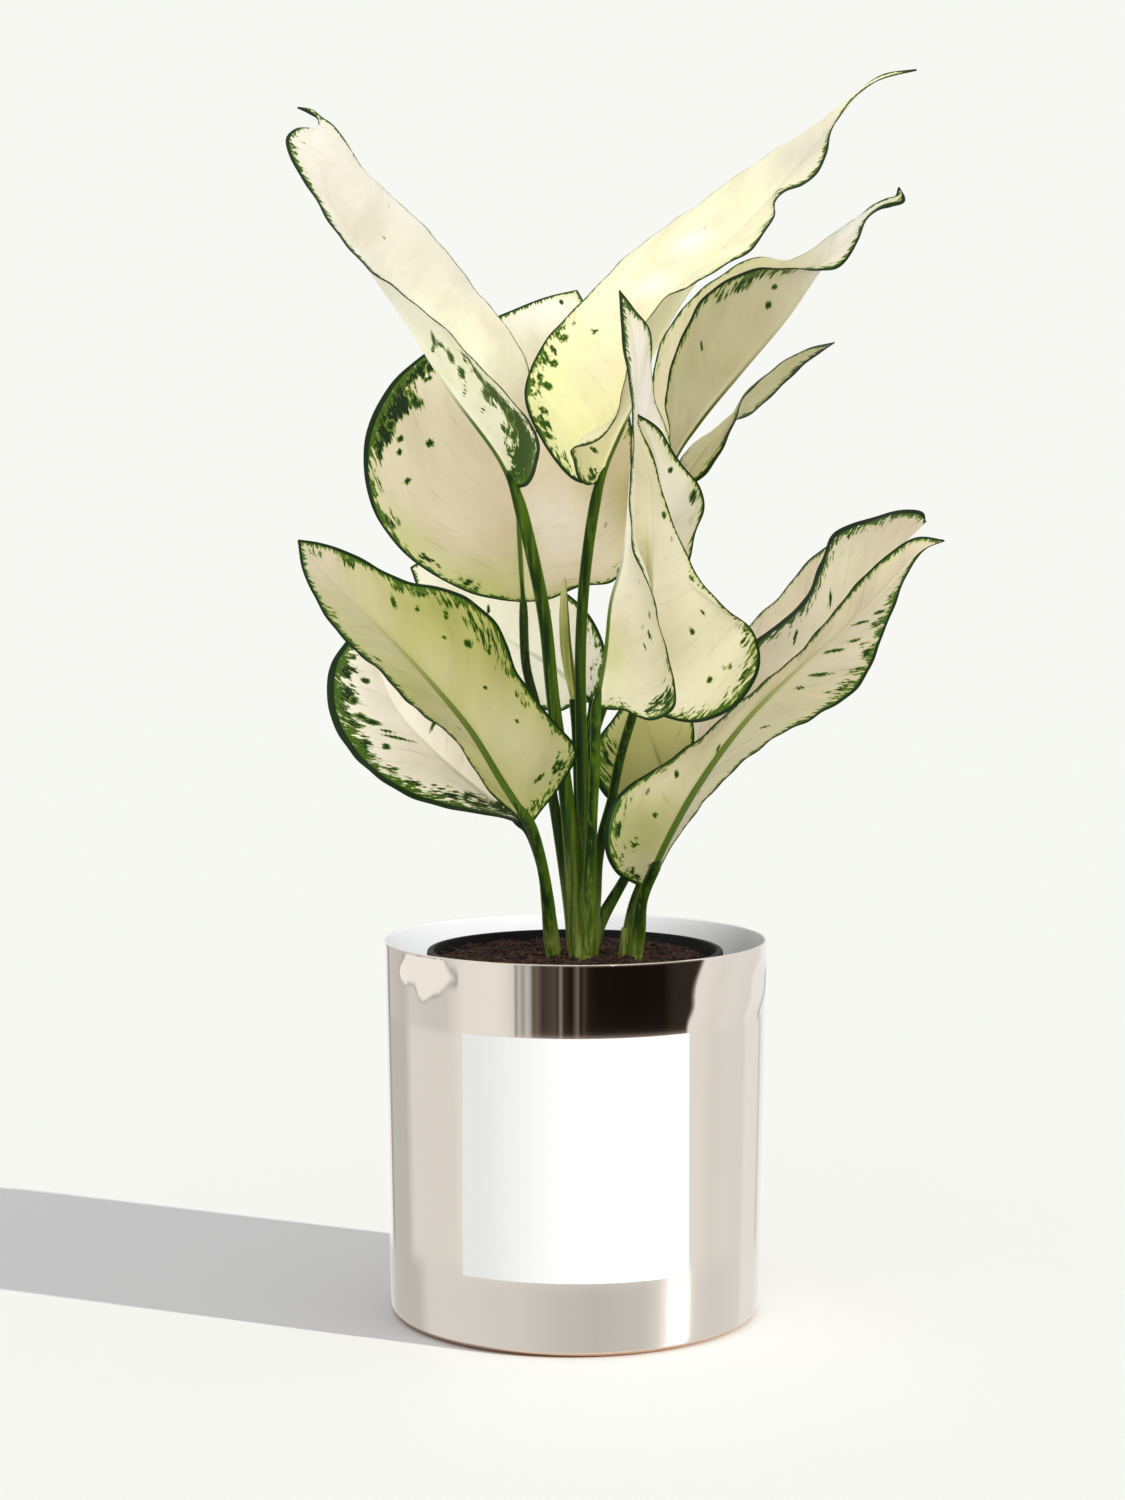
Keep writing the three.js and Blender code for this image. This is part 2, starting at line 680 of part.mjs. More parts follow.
// Rows of points from the left margin over the rib to the right margin, base to tip.
function bladeRows(leaf) {
  const rib = smoothCurve(leaf.rib);
  const ends = [leaf.rib[0], leaf.rib.at(-1)];
  const left = smoothCurve([ends[0], ...leaf.left, ends[1]]);
  const right = smoothCurve([ends[0], ...leaf.right, ends[1]]);
  const rows = [];
  for (let i = 0; i <= BLADE_STEPS; i += 1) {
    const t = stationAt(i);
    const middle = rib.getPointAt(t);
    const forward = rib.getTangentAt(t);
    const near = THREE.MathUtils.clamp(t, 0.5 / BLADE_STEPS, 1 - 0.5 / BLADE_STEPS);
    const side = right.getPointAt(near).sub(left.getPointAt(near));
    side.addScaledVector(forward, -side.dot(forward)).normalize();
    const half = [left, right].map((margin, k) =>
      margin
        .getPointAt(t)
        .sub(middle)
        .addScaledVector(side, k ? BLADE_END_HALF_WIDTH : -BLADE_END_HALF_WIDTH),
    );
    const at = (reach, share) => middle.clone().addScaledVector(reach, share);
    const ribShare = half.map((reach) => Math.min(RIB_MOST_SHARE, RIB_HALF_WIDTH / reach.length()));
    rows.push([
      ...BLADE_COLUMNS.toReversed().map((u) => at(half[0], u)),
      at(half[0], ribShare[0]),
      middle,
      at(half[1], ribShare[1]),
      ...BLADE_COLUMNS.map((u) => at(half[1], u)),
    ]);
  }
  return rows;
}

// Arches each half of the blade and waves its margins.
function shapedRows(leaf) {
  const rows = bladeRows(leaf);
  const normals = gridNormals(rows);
  const centre = (rows[0].length - 1) / 2;
  return rows.map((row, i) => {
    const t = stationAt(i);
    const swell = Math.sin(Math.PI * t);
    return row.map((point, j) => {
      if (j === centre) return point;
      const edge = row[j < centre ? 0 : row.length - 1];
      const reach = edge.distanceTo(row[centre]);
      const u = point.distanceTo(row[centre]) / reach;
      const phase = leaf.wavePhase + (j < centre ? 0 : MARGIN_WAVE_SHIFT);
      const wave = leaf.wave * swell * u ** 2 * Math.sin(2 * Math.PI * leaf.waves * t + phase);
      const arch = 4 * leaf.arch * reach * u * (1 - u);
      return point.clone().addScaledVector(normals[i][j], arch + wave);
    });
  });
}

// A thin closed blade, with a raised rib under it. Both faces share one pattern.
function bladeGeometry(leaf) {
  const rows = shapedRows(leaf);
  const normals = gridNormals(rows);
  const columns = rows[0].length;
  const centre = (columns - 1) / 2;
  const points = [];
  const corners = [];
  rows.forEach((row, i) => {
    const flat = new THREE.Vector3();
    normals[i].forEach((n) => flat.add(n));
    flat.normalize();
    const width = row[0].distanceTo(row.at(-1));
    const fold = THREE.MathUtils.smoothstep(width, BLADE_NARROW, BLADE_WIDE);
    const raised = THREE.MathUtils.smoothstep(width, 0, RIB_FULL_WIDTH);
    const ridge = RIB_HEIGHT * (1 - stationAt(i)) * raised;
    row.forEach((point, j) => {
      const up = flat.clone().lerp(normals[i][j], fold).normalize();
      const under = BLADE_THICK / 2 + (j === centre ? ridge : 0);
      points.push(point.clone().addScaledVector(up, BLADE_THICK / 2));
      points.push(point.clone().addScaledVector(up, -under));
    });
  });
  const at = (i, j, under) => 2 * (i * columns + j) + under;
  const quad = (a, b, c, d) => corners.push(a, b, c, a, c, d);
  for (let i = 0; i < BLADE_STEPS; i += 1) {
    for (let j = 0; j < columns - 1; j += 1) {
      quad(at(i, j, 0), at(i, j + 1, 0), at(i + 1, j + 1, 0), at(i + 1, j, 0));
      corners.push(at(i, j, 1), at(i + 1, j + 1, 1), at(i, j + 1, 1));
      corners.push(at(i, j, 1), at(i + 1, j, 1), at(i + 1, j + 1, 1));
    }
    const edge = columns - 1;
    quad(at(i, 0, 0), at(i + 1, 0, 0), at(i + 1, 0, 1), at(i, 0, 1));
    quad(at(i, edge, 0), at(i, edge, 1), at(i + 1, edge, 1), at(i + 1, edge, 0));
  }
  for (let j = 0; j < columns - 1; j += 1) {
    quad(at(0, j, 0), at(0, j, 1), at(0, j + 1, 1), at(0, j + 1, 0));
    const end = BLADE_STEPS;
    quad(at(end, j, 0), at(end, j + 1, 0), at(end, j + 1, 1), at(end, j, 1));
  }
  return geometryFrom(points, corners);
}

const plant = new THREE.Group();

const polishedMetal = new THREE.MeshStandardMaterial({
  color: 0xd9cfc4, metalness: 1, roughness: 0.12,
});
const blackPlastic = new THREE.MeshStandardMaterial({ color: 0x151515, roughness: 0.5 });
const paper = new THREE.MeshStandardMaterial({ color: 0xfbfbf9, roughness: 0.7 });
const peat = new THREE.MeshStandardMaterial({ color: 0x3a2119, roughness: 1 });
const stalkGreen = new THREE.MeshStandardMaterial({ color: 0x355c14, roughness: 0.45 });
const creamLeaf = new THREE.MeshStandardMaterial({ color: 0xe9e0c4, roughness: 0.5 });
const youngLeaf = new THREE.MeshStandardMaterial({ color: 0xa9ac52, roughness: 0.5 });

const holes = SHOOTS.flatMap((shoot) => shoot.shafts.map(shaftHole));
plant.add(namedMesh("cachepot", outerPot(), polishedMetal));
plant.add(meshFrom("nursery_pot", innerPot(), blackPlastic));
plant.add(namedMesh("label", labelSheet(), paper));
plant.add(meshFrom("soil", soilBody(holes), peat));
for (const shoot of SHOOTS)
  plant.add(meshFrom(shoot.name, shootSolid(shoot), stalkGreen));
const rolled = taperedTube(
  NEW_LEAF.rib, NEW_LEAF.footRadius, NEW_LEAF.tipRadius, ROLLED_LEAF_STEPS,
);
plant.add(namedMesh(NEW_LEAF.name, rolled, youngLeaf));
for (const leaf of LEAVES)
  plant.add(namedMesh(leaf.name, bladeGeometry(leaf), creamLeaf));

export default plant;
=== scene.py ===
# %% [markdown]
# # A potted Chinese evergreen
#
# This lesson dresses a plant that is already built as plain solids: a polished metal pot with a
# paper label, a black plastic pot of soil inside it, three shoots and fifteen cream leaves. The
# solids hold every size and place. Blender gives each piece its fine surface and its finish.
#
# Load the solids first, and keep their box, so that the finished pieces can be held against it.

import math

import bpy
import numpy as np
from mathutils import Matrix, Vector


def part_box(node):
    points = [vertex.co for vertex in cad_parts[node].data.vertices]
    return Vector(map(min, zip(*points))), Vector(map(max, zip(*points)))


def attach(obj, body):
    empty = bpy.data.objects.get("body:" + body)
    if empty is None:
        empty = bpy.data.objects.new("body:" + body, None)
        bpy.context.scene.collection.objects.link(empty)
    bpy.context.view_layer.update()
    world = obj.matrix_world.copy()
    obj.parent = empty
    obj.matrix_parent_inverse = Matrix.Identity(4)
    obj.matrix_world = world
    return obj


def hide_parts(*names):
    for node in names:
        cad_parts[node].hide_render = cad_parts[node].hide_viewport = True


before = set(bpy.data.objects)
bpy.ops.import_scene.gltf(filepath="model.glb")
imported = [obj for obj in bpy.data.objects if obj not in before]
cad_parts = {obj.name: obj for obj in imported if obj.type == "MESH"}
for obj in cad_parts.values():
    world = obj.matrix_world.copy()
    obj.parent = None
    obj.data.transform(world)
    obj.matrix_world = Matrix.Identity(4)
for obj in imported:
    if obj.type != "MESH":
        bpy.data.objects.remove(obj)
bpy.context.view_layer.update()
MM = 0.001

# %% [markdown]
# ## Camera
#
# The picture is taken from about a metre away, just above the middle of the plant, looking
# slightly down. How open the pot's rim looks against its base gives the height of the lens. A
# long lens keeps the pot's sides nearly parallel.

# %% Camera
IMAGE_WIDTH = 1125
IMAGE_HEIGHT = 1500
FOCAL_PIXELS = 2717
SENSOR = 36.0
CAMERA_PLACE = (-4.6 * MM, -986 * MM, 270.9 * MM)
CAMERA_PITCH = math.radians(-3.79)

camera_data = bpy.data.cameras.new("camera")
camera_data.sensor_width = SENSOR
camera_data.lens = SENSOR * FOCAL_PIXELS / max(IMAGE_WIDTH, IMAGE_HEIGHT)
camera = bpy.data.objects.new("camera", camera_data)
camera.location = CAMERA_PLACE
camera.rotation_euler = (math.pi / 2 + CAMERA_PITCH, 0, 0)
bpy.context.scene.collection.objects.link(camera)
bpy.context.scene.camera = camera
print("lens in mm:", round(camera_data.lens, 1))

# %% [markdown]
# ## A helper for finishes
#
# Every finish here is procedural: colour, roughness and bump come from a tree of shader nodes.
# Written out in full, a tree takes several lines for each node. The small class below adds a
# node and feeds its sockets in one call, so that a finish reads as a list of steps. Colours are
# given as they look on a screen, from 0 to 255, and turned into linear light once.

# %% A helper for finishes
def colour(red, green, blue):
    """A screen colour as linear light, with full alpha."""
    linear = [(c / 255 + 0.055) / 1.055 for c in (red, green, blue)]
    return tuple(c**2.4 if c > 0.09 else c / 12.92 for c in linear) + (1.0,)


class Finish:
    """A material that grows by one node a call. Each call gives back the node's output."""

    def __init__(self, name, **fixed):
        self.material = bpy.data.materials.new(name)
        self.material.use_nodes = True
        self.tree = self.material.node_tree
        self.shader = self.tree.nodes["Principled BSDF"]
        self.set(**fixed)

    def feed(self, socket, value):
        if isinstance(value, bpy.types.NodeSocket):
            self.tree.links.new(value, socket)
        else:
            socket.default_value = value

    def set(self, **sockets):
        for name, value in sockets.items():
            self.feed(self.shader.inputs[name.replace("_", " ")], value)

    def node(self, kind, inputs, output=0, **settings):
        made = self.tree.nodes.new("ShaderNode" + kind)
        for key, value in settings.items():
            setattr(made, key, value)
        for socket, value in inputs.items():
            self.feed(made.inputs[socket], value)
        return made.outputs[output]

    def math(self, operation, a, b=0.0):
        return self.node("Math", {0: a, 1: b}, operation=operation)

    def step(self, value, low, high, at_low=0.0, at_high=1.0):
        """A smooth step: at_low where value is below low, and at_high above high."""
        inputs = {0: value, 1: low, 2: high, 3: at_low, 4: at_high}
        return self.node("MapRange", inputs, interpolation_type="SMOOTHSTEP")

    def mix(self, share, first, second, blend="MIX"):
        inputs = {0: share, 6: first, 7: second}
        return self.node("Mix", inputs, output=2, data_type="RGBA", blend_type=blend)

    def vector(self, x, y, z=0.0):
        return self.node("CombineXYZ", {0: x, 1: y, 2: z})

    def place(self):
        return self.node("TexCoord", {}, output="Object")

    def attribute(self, name, output="Fac"):
        return self.node("Attribute", {}, output=output, attribute_name=name)

    def noise(self, vector, scale, detail=3.0, roughness=0.5):
        inputs = {"Vector": vector, "Scale": scale, "Detail": detail, "Roughness": roughness}
        return self.node("TexNoise", inputs)

    def bump(self, height, strength, distance):
        inputs = {"Height": height, "Strength": strength, "Distance": distance}
        self.set(Normal=self.node("Bump", inputs))


print("finish helper ready")

# %% [markdown]
# ## Helpers for shapes
#
# Three kinds of shape come back again and again. A pot is a profile turned round an axis. A leaf
# is a grid of points with a thickness. A stalk follows a smooth route. All three end as a plain
# mesh whose object sits at the origin, with its place in its points.
#
# The route helper draws the same curve as the solids have: it passes through every point, and
# its pull between two points depends on the square root of their distance, which keeps it from
# looping where points stand close together.

# %% Helpers for shapes
SMOOTH_ANGLE = math.radians(50)
CURVE_SAMPLES = 40


def add_mesh(name, points, faces, materials, slot_of_face=None):
    """A mesh piece from points in millimetres, smooth but for its sharp edges."""
    mesh = bpy.data.meshes.new(name)
    mesh.from_pydata((np.asarray(points) * MM).tolist(), [], faces)
    for material in materials:
        mesh.materials.append(material)
    if slot_of_face is not None:
        mesh.polygons.foreach_set("material_index", slot_of_face)
    mesh.shade_smooth()
    mesh.set_sharp_from_angle(angle=SMOOTH_ANGLE)
    mesh.update()
    piece = bpy.data.objects.new(name, mesh)
    bpy.context.scene.collection.objects.link(piece)
    return piece


def keep_fact(mesh, name, values):
    """Keeps a number on each of a mesh's points, for a finish to read."""
    mesh.attributes.new(name, "FLOAT", "POINT").data.foreach_set("value", values)


def turned(profile, steps):
    """Points and faces of a profile of (radius, height) pairs, turned about the Z axis."""
    points = []
    rings = []
    for radius, height in profile:
        count = 1 if radius == 0 else steps
        rings.append(range(len(points), len(points) + count))
        for i in range(count):
            angle = 2 * math.pi * i / steps
            points.append((radius * math.cos(angle), radius * math.sin(angle), height))
    faces = []
    for low, high in zip(rings, rings[1:]):
        for i in range(steps):
            n = (i + 1) % steps
            corners = [low[i % len(low)], low[n % len(low)], high[n % len(high)], high[i % len(high)]]
            faces.append(list(dict.fromkeys(corners)))
    return points, faces


def corner_round(radius, height, size, from_deg, to_deg, steps=8):
    """Points of a rounded corner in a profile, centred at (radius, height)."""
    angles = np.radians(np.linspace(from_deg, to_deg, steps + 1))
    return [(radius + size * math.cos(a), height + size * math.sin(a)) for a in angles]


def sheet_faces(rows, columns):
    """Faces of a closed sheet: its points are a grid of upper ones, then the same grid below."""
    below = rows * columns
    faces = []
    for i in range(rows - 1):
        for j in range(columns - 1):
            a = i * columns + j
            b = a + columns
            faces.append([a, a + 1, b + 1, b])
            faces.append([below + a, below + b, below + b + 1, below + a + 1])
    rim = list(range(columns))
    rim += [i * columns + columns - 1 for i in range(1, rows)]
    rim += [(rows - 1) * columns + j for j in range(columns - 2, -1, -1)]
    rim += [i * columns for i in range(rows - 2, -1, -1)]
    faces += [[b, a, below + a, below + b] for a, b in zip(rim, rim[1:])]
    return faces


class Route:
    """A smooth curve through given points, read by share of its length."""

    def __init__(self, points):
        p = np.array(points, float)
        p = np.vstack([2 * p[0] - p[1], p, 2 * p[-1] - p[-2]])
        gap = np.linalg.norm(np.diff(p, axis=0), axis=1) ** 0.5
        s = np.linspace(0, 1, CURVE_SAMPLES, endpoint=False)[:, None]
        dense = []
        for i in range(1, len(p) - 2):
            a, b, c = gap[i - 1 : i + 2]
            step = p[i + 1] - p[i]
            start = b * ((p[i] - p[i - 1]) / a - (p[i + 1] - p[i - 1]) / (a + b) + step / b)
            end = b * (step / b - (p[i + 2] - p[i]) / (b + c) + (p[i + 2] - p[i + 1]) / c)
            bend = -3 * p[i] + 3 * p[i + 1] - 2 * start - end
            twist = 2 * p[i] - 2 * p[i + 1] + start + end
            dense.append(p[i] + start * s + bend * s**2 + twist * s**3)
        self.points = np.vstack([*dense, p[-2:-1]])
        lengths = np.linalg.norm(np.diff(self.points, axis=0), axis=1)
        self.reach = np.concatenate([[0], np.cumsum(lengths)])
        self.length = self.reach[-1]

    def at(self, share):
        where = np.clip(share, 0, 1) * self.length
        return np.stack([np.interp(where, self.reach, axis) for axis in self.points.T], -1)

    def towards(self, share, nudge=1e-3):
        step = self.at(np.asarray(share) + nudge) - self.at(np.asarray(share) - nudge)
        return step / np.linalg.norm(step, axis=-1, keepdims=True)


print("shape helpers ready")

# %% [markdown]
# ## The outer pot
#
# The real pot is a cup of thin metal, spun on a lathe and polished to a mirror on the outside.
# Its inside is left satin. A mirror shows every flat of a coarse solid, so the pot is turned
# again here with many more steps and a rounded lip. The lean of its wall, its rounded foot and
# its heights are read off the solid.

# %% The outer pot
POT_HIGH = np.array(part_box("cachepot")[1]) / MM
POT_HEIGHT = POT_HIGH[2]
POT_RIM = POT_HIGH[0]
POT_TAPER = 2.5
POT_BASE = POT_RIM - POT_TAPER
POT_WALL = 1.0
POT_FLOOR = 1.2
POT_ROUND = 4.0
POT_WALL_RINGS = 12
POT_STEPS = 256


def pot_radius(height):
    return POT_BASE + (POT_RIM - POT_BASE) * height / POT_HEIGHT


def pot_profile():
    inner = POT_ROUND - POT_WALL
    inner_top = POT_HEIGHT - 4
    lip = POT_WALL / 2
    return [
        (0, 0),
        *corner_round(POT_BASE - POT_ROUND, POT_ROUND, POT_ROUND, -90, 0),
        *[(pot_radius(h), h) for h in np.linspace(2 * POT_ROUND, POT_HEIGHT - 2 * lip, POT_WALL_RINGS)],
        *corner_round(POT_RIM - lip, POT_HEIGHT - lip, lip, 0, 180),
        *[(pot_radius(h) - POT_WALL, h) for h in np.linspace(inner_top, 2 * POT_ROUND, POT_WALL_RINGS)],
        *corner_round(POT_BASE - POT_WALL - inner, POT_FLOOR + inner, inner, 0, -90),
        (0, POT_FLOOR),
    ]


def polished_metal():
    """Warm nickel mirror, a little wavy, with a painted warm reflection where the foot turns under."""
    finish = Finish("polished_metal", Metallic=1.0, Roughness=0.03)
    place = finish.place()
    height = finish.node("SeparateXYZ", {0: place}, output=2)
    cloud = finish.noise(place, 9.0)
    nickel = finish.mix(cloud, colour(227, 218, 207), colour(231, 223, 212))
    # Painted reflection: a copper tone near the foot stands for the floor's warm light reflected there.
    foot = finish.step(height, 0.4 * MM, 2.2 * MM, 1.0, 0.0)
    painted_warm_foot = finish.mix(foot, nickel, colour(214, 150, 96))
    finish.set(Base_Color=painted_warm_foot)
    around = finish.node("Mapping", {"Vector": place, "Scale": (1.0, 1.0, 0.12)})
    finish.bump(finish.noise(around, 26.0, 1.0), 0.025, 0.6 * MM)
    return finish.material


def satin_metal():
    """The inside wall: the same metal left satin and paler, with fine turning lines."""
    finish = Finish("satin_metal", Metallic=0.1, Roughness=0.45)
    place = finish.place()
    lines = finish.node("Mapping", {"Vector": place, "Scale": (0.02, 0.02, 1.0)})
    turning = finish.noise(lines, 2600.0, 2.0)
    finish.set(Base_Color=finish.mix(turning, colour(244, 245, 248), colour(252, 252, 253)))
    finish.bump(turning, 0.08, 0.1 * MM)
    return finish.material


points, faces = turned(pot_profile(), POT_STEPS)
profile = pot_profile()
rim_index = max(range(len(profile)), key=lambda i: profile[i][1])
inside = [1 if i // POT_STEPS > rim_index + 1 else 0 for i in range(len(faces))]
cachepot = add_mesh("cachepot_polished", points, faces, [polished_metal(), satin_metal()], inside)
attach(cachepot, "root")
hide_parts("cachepot")
print("outer pot:", len(cachepot.data.polygons), "faces,", round(2 * POT_RIM), "mm across")

# %% [markdown]
# ## The label
#
# A plain sheet of smooth white paper is glued round the front. A flat sheet would have to be
# wrapped on, so its points are worked out on the pot's wall at once. It gets the thickness of
# card, so that its edge catches the light.

# %% The label
LABEL_LOW, LABEL_HIGH = (np.array(corner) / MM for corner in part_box("label"))
LABEL_TURN_LOW = 35.0
LABEL_TURN_HIGH = 34.0
LABEL_STAND = 0.12
LABEL_THICK = 0.25
LABEL_STEPS = 60
LABEL_ROWS = 24


def label_sheet():
    points = []
    for stand in (LABEL_STAND + LABEL_THICK, LABEL_STAND):
        for share in np.linspace(0, 1, LABEL_ROWS + 1):
            height = LABEL_LOW[2] + (LABEL_HIGH[2] - LABEL_LOW[2]) * share
            reach = LABEL_TURN_LOW + (LABEL_TURN_HIGH - LABEL_TURN_LOW) * share
            for turn in np.radians(np.linspace(-reach, reach, LABEL_STEPS + 1)):
                radius = pot_radius(height) + stand
                points.append((radius * math.sin(turn), -radius * math.cos(turn), height))
    return points, sheet_faces(LABEL_ROWS + 1, LABEL_STEPS + 1)


def label_paper():
    finish = Finish("label_paper", Roughness=0.55)
    place = finish.place()
    pulp = finish.noise(place, 1400.0, 4.0, 0.7)
    finish.set(Base_Color=finish.mix(pulp, colour(245, 245, 246), colour(253, 253, 253)))
    finish.bump(pulp, 0.12, 0.05 * MM)
    return finish.material


label = add_mesh("label_blank", *label_sheet(), [label_paper()])
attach(label, "root")
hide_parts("label")
print("label:", np.round(LABEL_HIGH - LABEL_LOW), "mm")

# %% [markdown]
# ## The nursery pot
#
# Inside stands the thin black pot that the plant was grown in. Little more than its lip shows,
# and it is drawn a little slimmer here than on the solid. The pot is turned like the outer one,
# and its drain holes are cut by a Boolean, because a turned shape can't hold holes off its axis.

# %% The nursery pot
INNER_LOW, INNER_HIGH = (np.array(corner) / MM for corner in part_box("nursery_pot"))
LIP_SLIMMER = 1.4
LIP_OUT = 1.3
INNER_RIM = INNER_HIGH[0] - LIP_SLIMMER
INNER_BODY = INNER_RIM - LIP_OUT
INNER_BASE = 43.0
INNER_LIP = 7.0
INNER_WALL = 1.1
INNER_FOOT_ROUND = 1.5
INNER_LIP_ROUND = 1.2
INNER_EDGE_ROUND = 0.5
INNER_STEPS = 144
DRAIN_COUNT = 6
DRAIN_RADIUS = 4.0
DRAIN_CIRCLE = 30.0
DRAIN_SIDES = 24
DRILL_REACH = (-2, 6)


def inner_radius(height):
    share = (height - INNER_LOW[2]) / (INNER_HIGH[2] - INNER_LOW[2])
    return INNER_BASE + (INNER_BODY - INNER_BASE) * share


def inner_profile():
    low, high = INNER_LOW[2], INNER_HIGH[2]
    lip_low = high - INNER_LIP
    floor = low + INNER_WALL
    foot, lip, edge = INNER_FOOT_ROUND, INNER_LIP_ROUND, INNER_EDGE_ROUND
    return [
        (0, low),
        *corner_round(INNER_BASE - foot, low + foot, foot, -90, 0, 4),
        (inner_radius(lip_low), lip_low),
        *corner_round(INNER_RIM - edge, lip_low + edge, edge, -90, 0, 4),
        *corner_round(INNER_RIM - lip, high - lip, lip, 0, 90, 5),
        *corner_round(INNER_BODY - INNER_WALL + edge, high - edge, edge, 90, 180, 4),
        (inner_radius(floor) - INNER_WALL, floor),
        (0, floor),
    ]


def black_plastic():
    finish = Finish("black_plastic", Base_Color=colour(10, 10, 10), Specular_IOR_Level=0.12)
    grain = finish.noise(finish.place(), 900.0, 3.0)
    finish.set(Roughness=finish.step(grain, 0.3, 0.7, 0.5, 0.7))
    finish.bump(grain, 0.1, 0.1 * MM)
    return finish.material


nursery_pot = add_mesh("nursery_pot_black", *turned(inner_profile(), INNER_STEPS), [black_plastic()])
low, high = DRILL_REACH
drill_profile = [(0, low), (DRAIN_RADIUS, low), (DRAIN_RADIUS, high), (0, high)]
drill_points, drill_faces = turned(drill_profile, DRAIN_SIDES)
for i in range(DRAIN_COUNT):
    turn = 2 * math.pi * i / DRAIN_COUNT
    at = np.array([DRAIN_CIRCLE * math.cos(turn), DRAIN_CIRCLE * math.sin(turn), INNER_LOW[2]])
    drill = add_mesh(f"drill_{i}", np.array(drill_points) + at, drill_faces, [])
    cut = nursery_pot.modifiers.new("drain", "BOOLEAN")
    cut.operation = "DIFFERENCE"
    cut.object = drill
with bpy.context.temp_override(object=nursery_pot, active_object=nursery_pot):
    for cut in list(nursery_pot.modifiers):
        drill = cut.object
        bpy.ops.object.modifier_apply(modifier=cut.name)
        bpy.data.objects.remove(drill)
nursery_pot.data.shade_smooth()
nursery_pot.data.set_sharp_from_angle(angle=SMOOTH_ANGLE)
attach(nursery_pot, "root")
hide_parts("nursery_pot")
print("nursery pot:", len(nursery_pot.data.polygons), "faces")
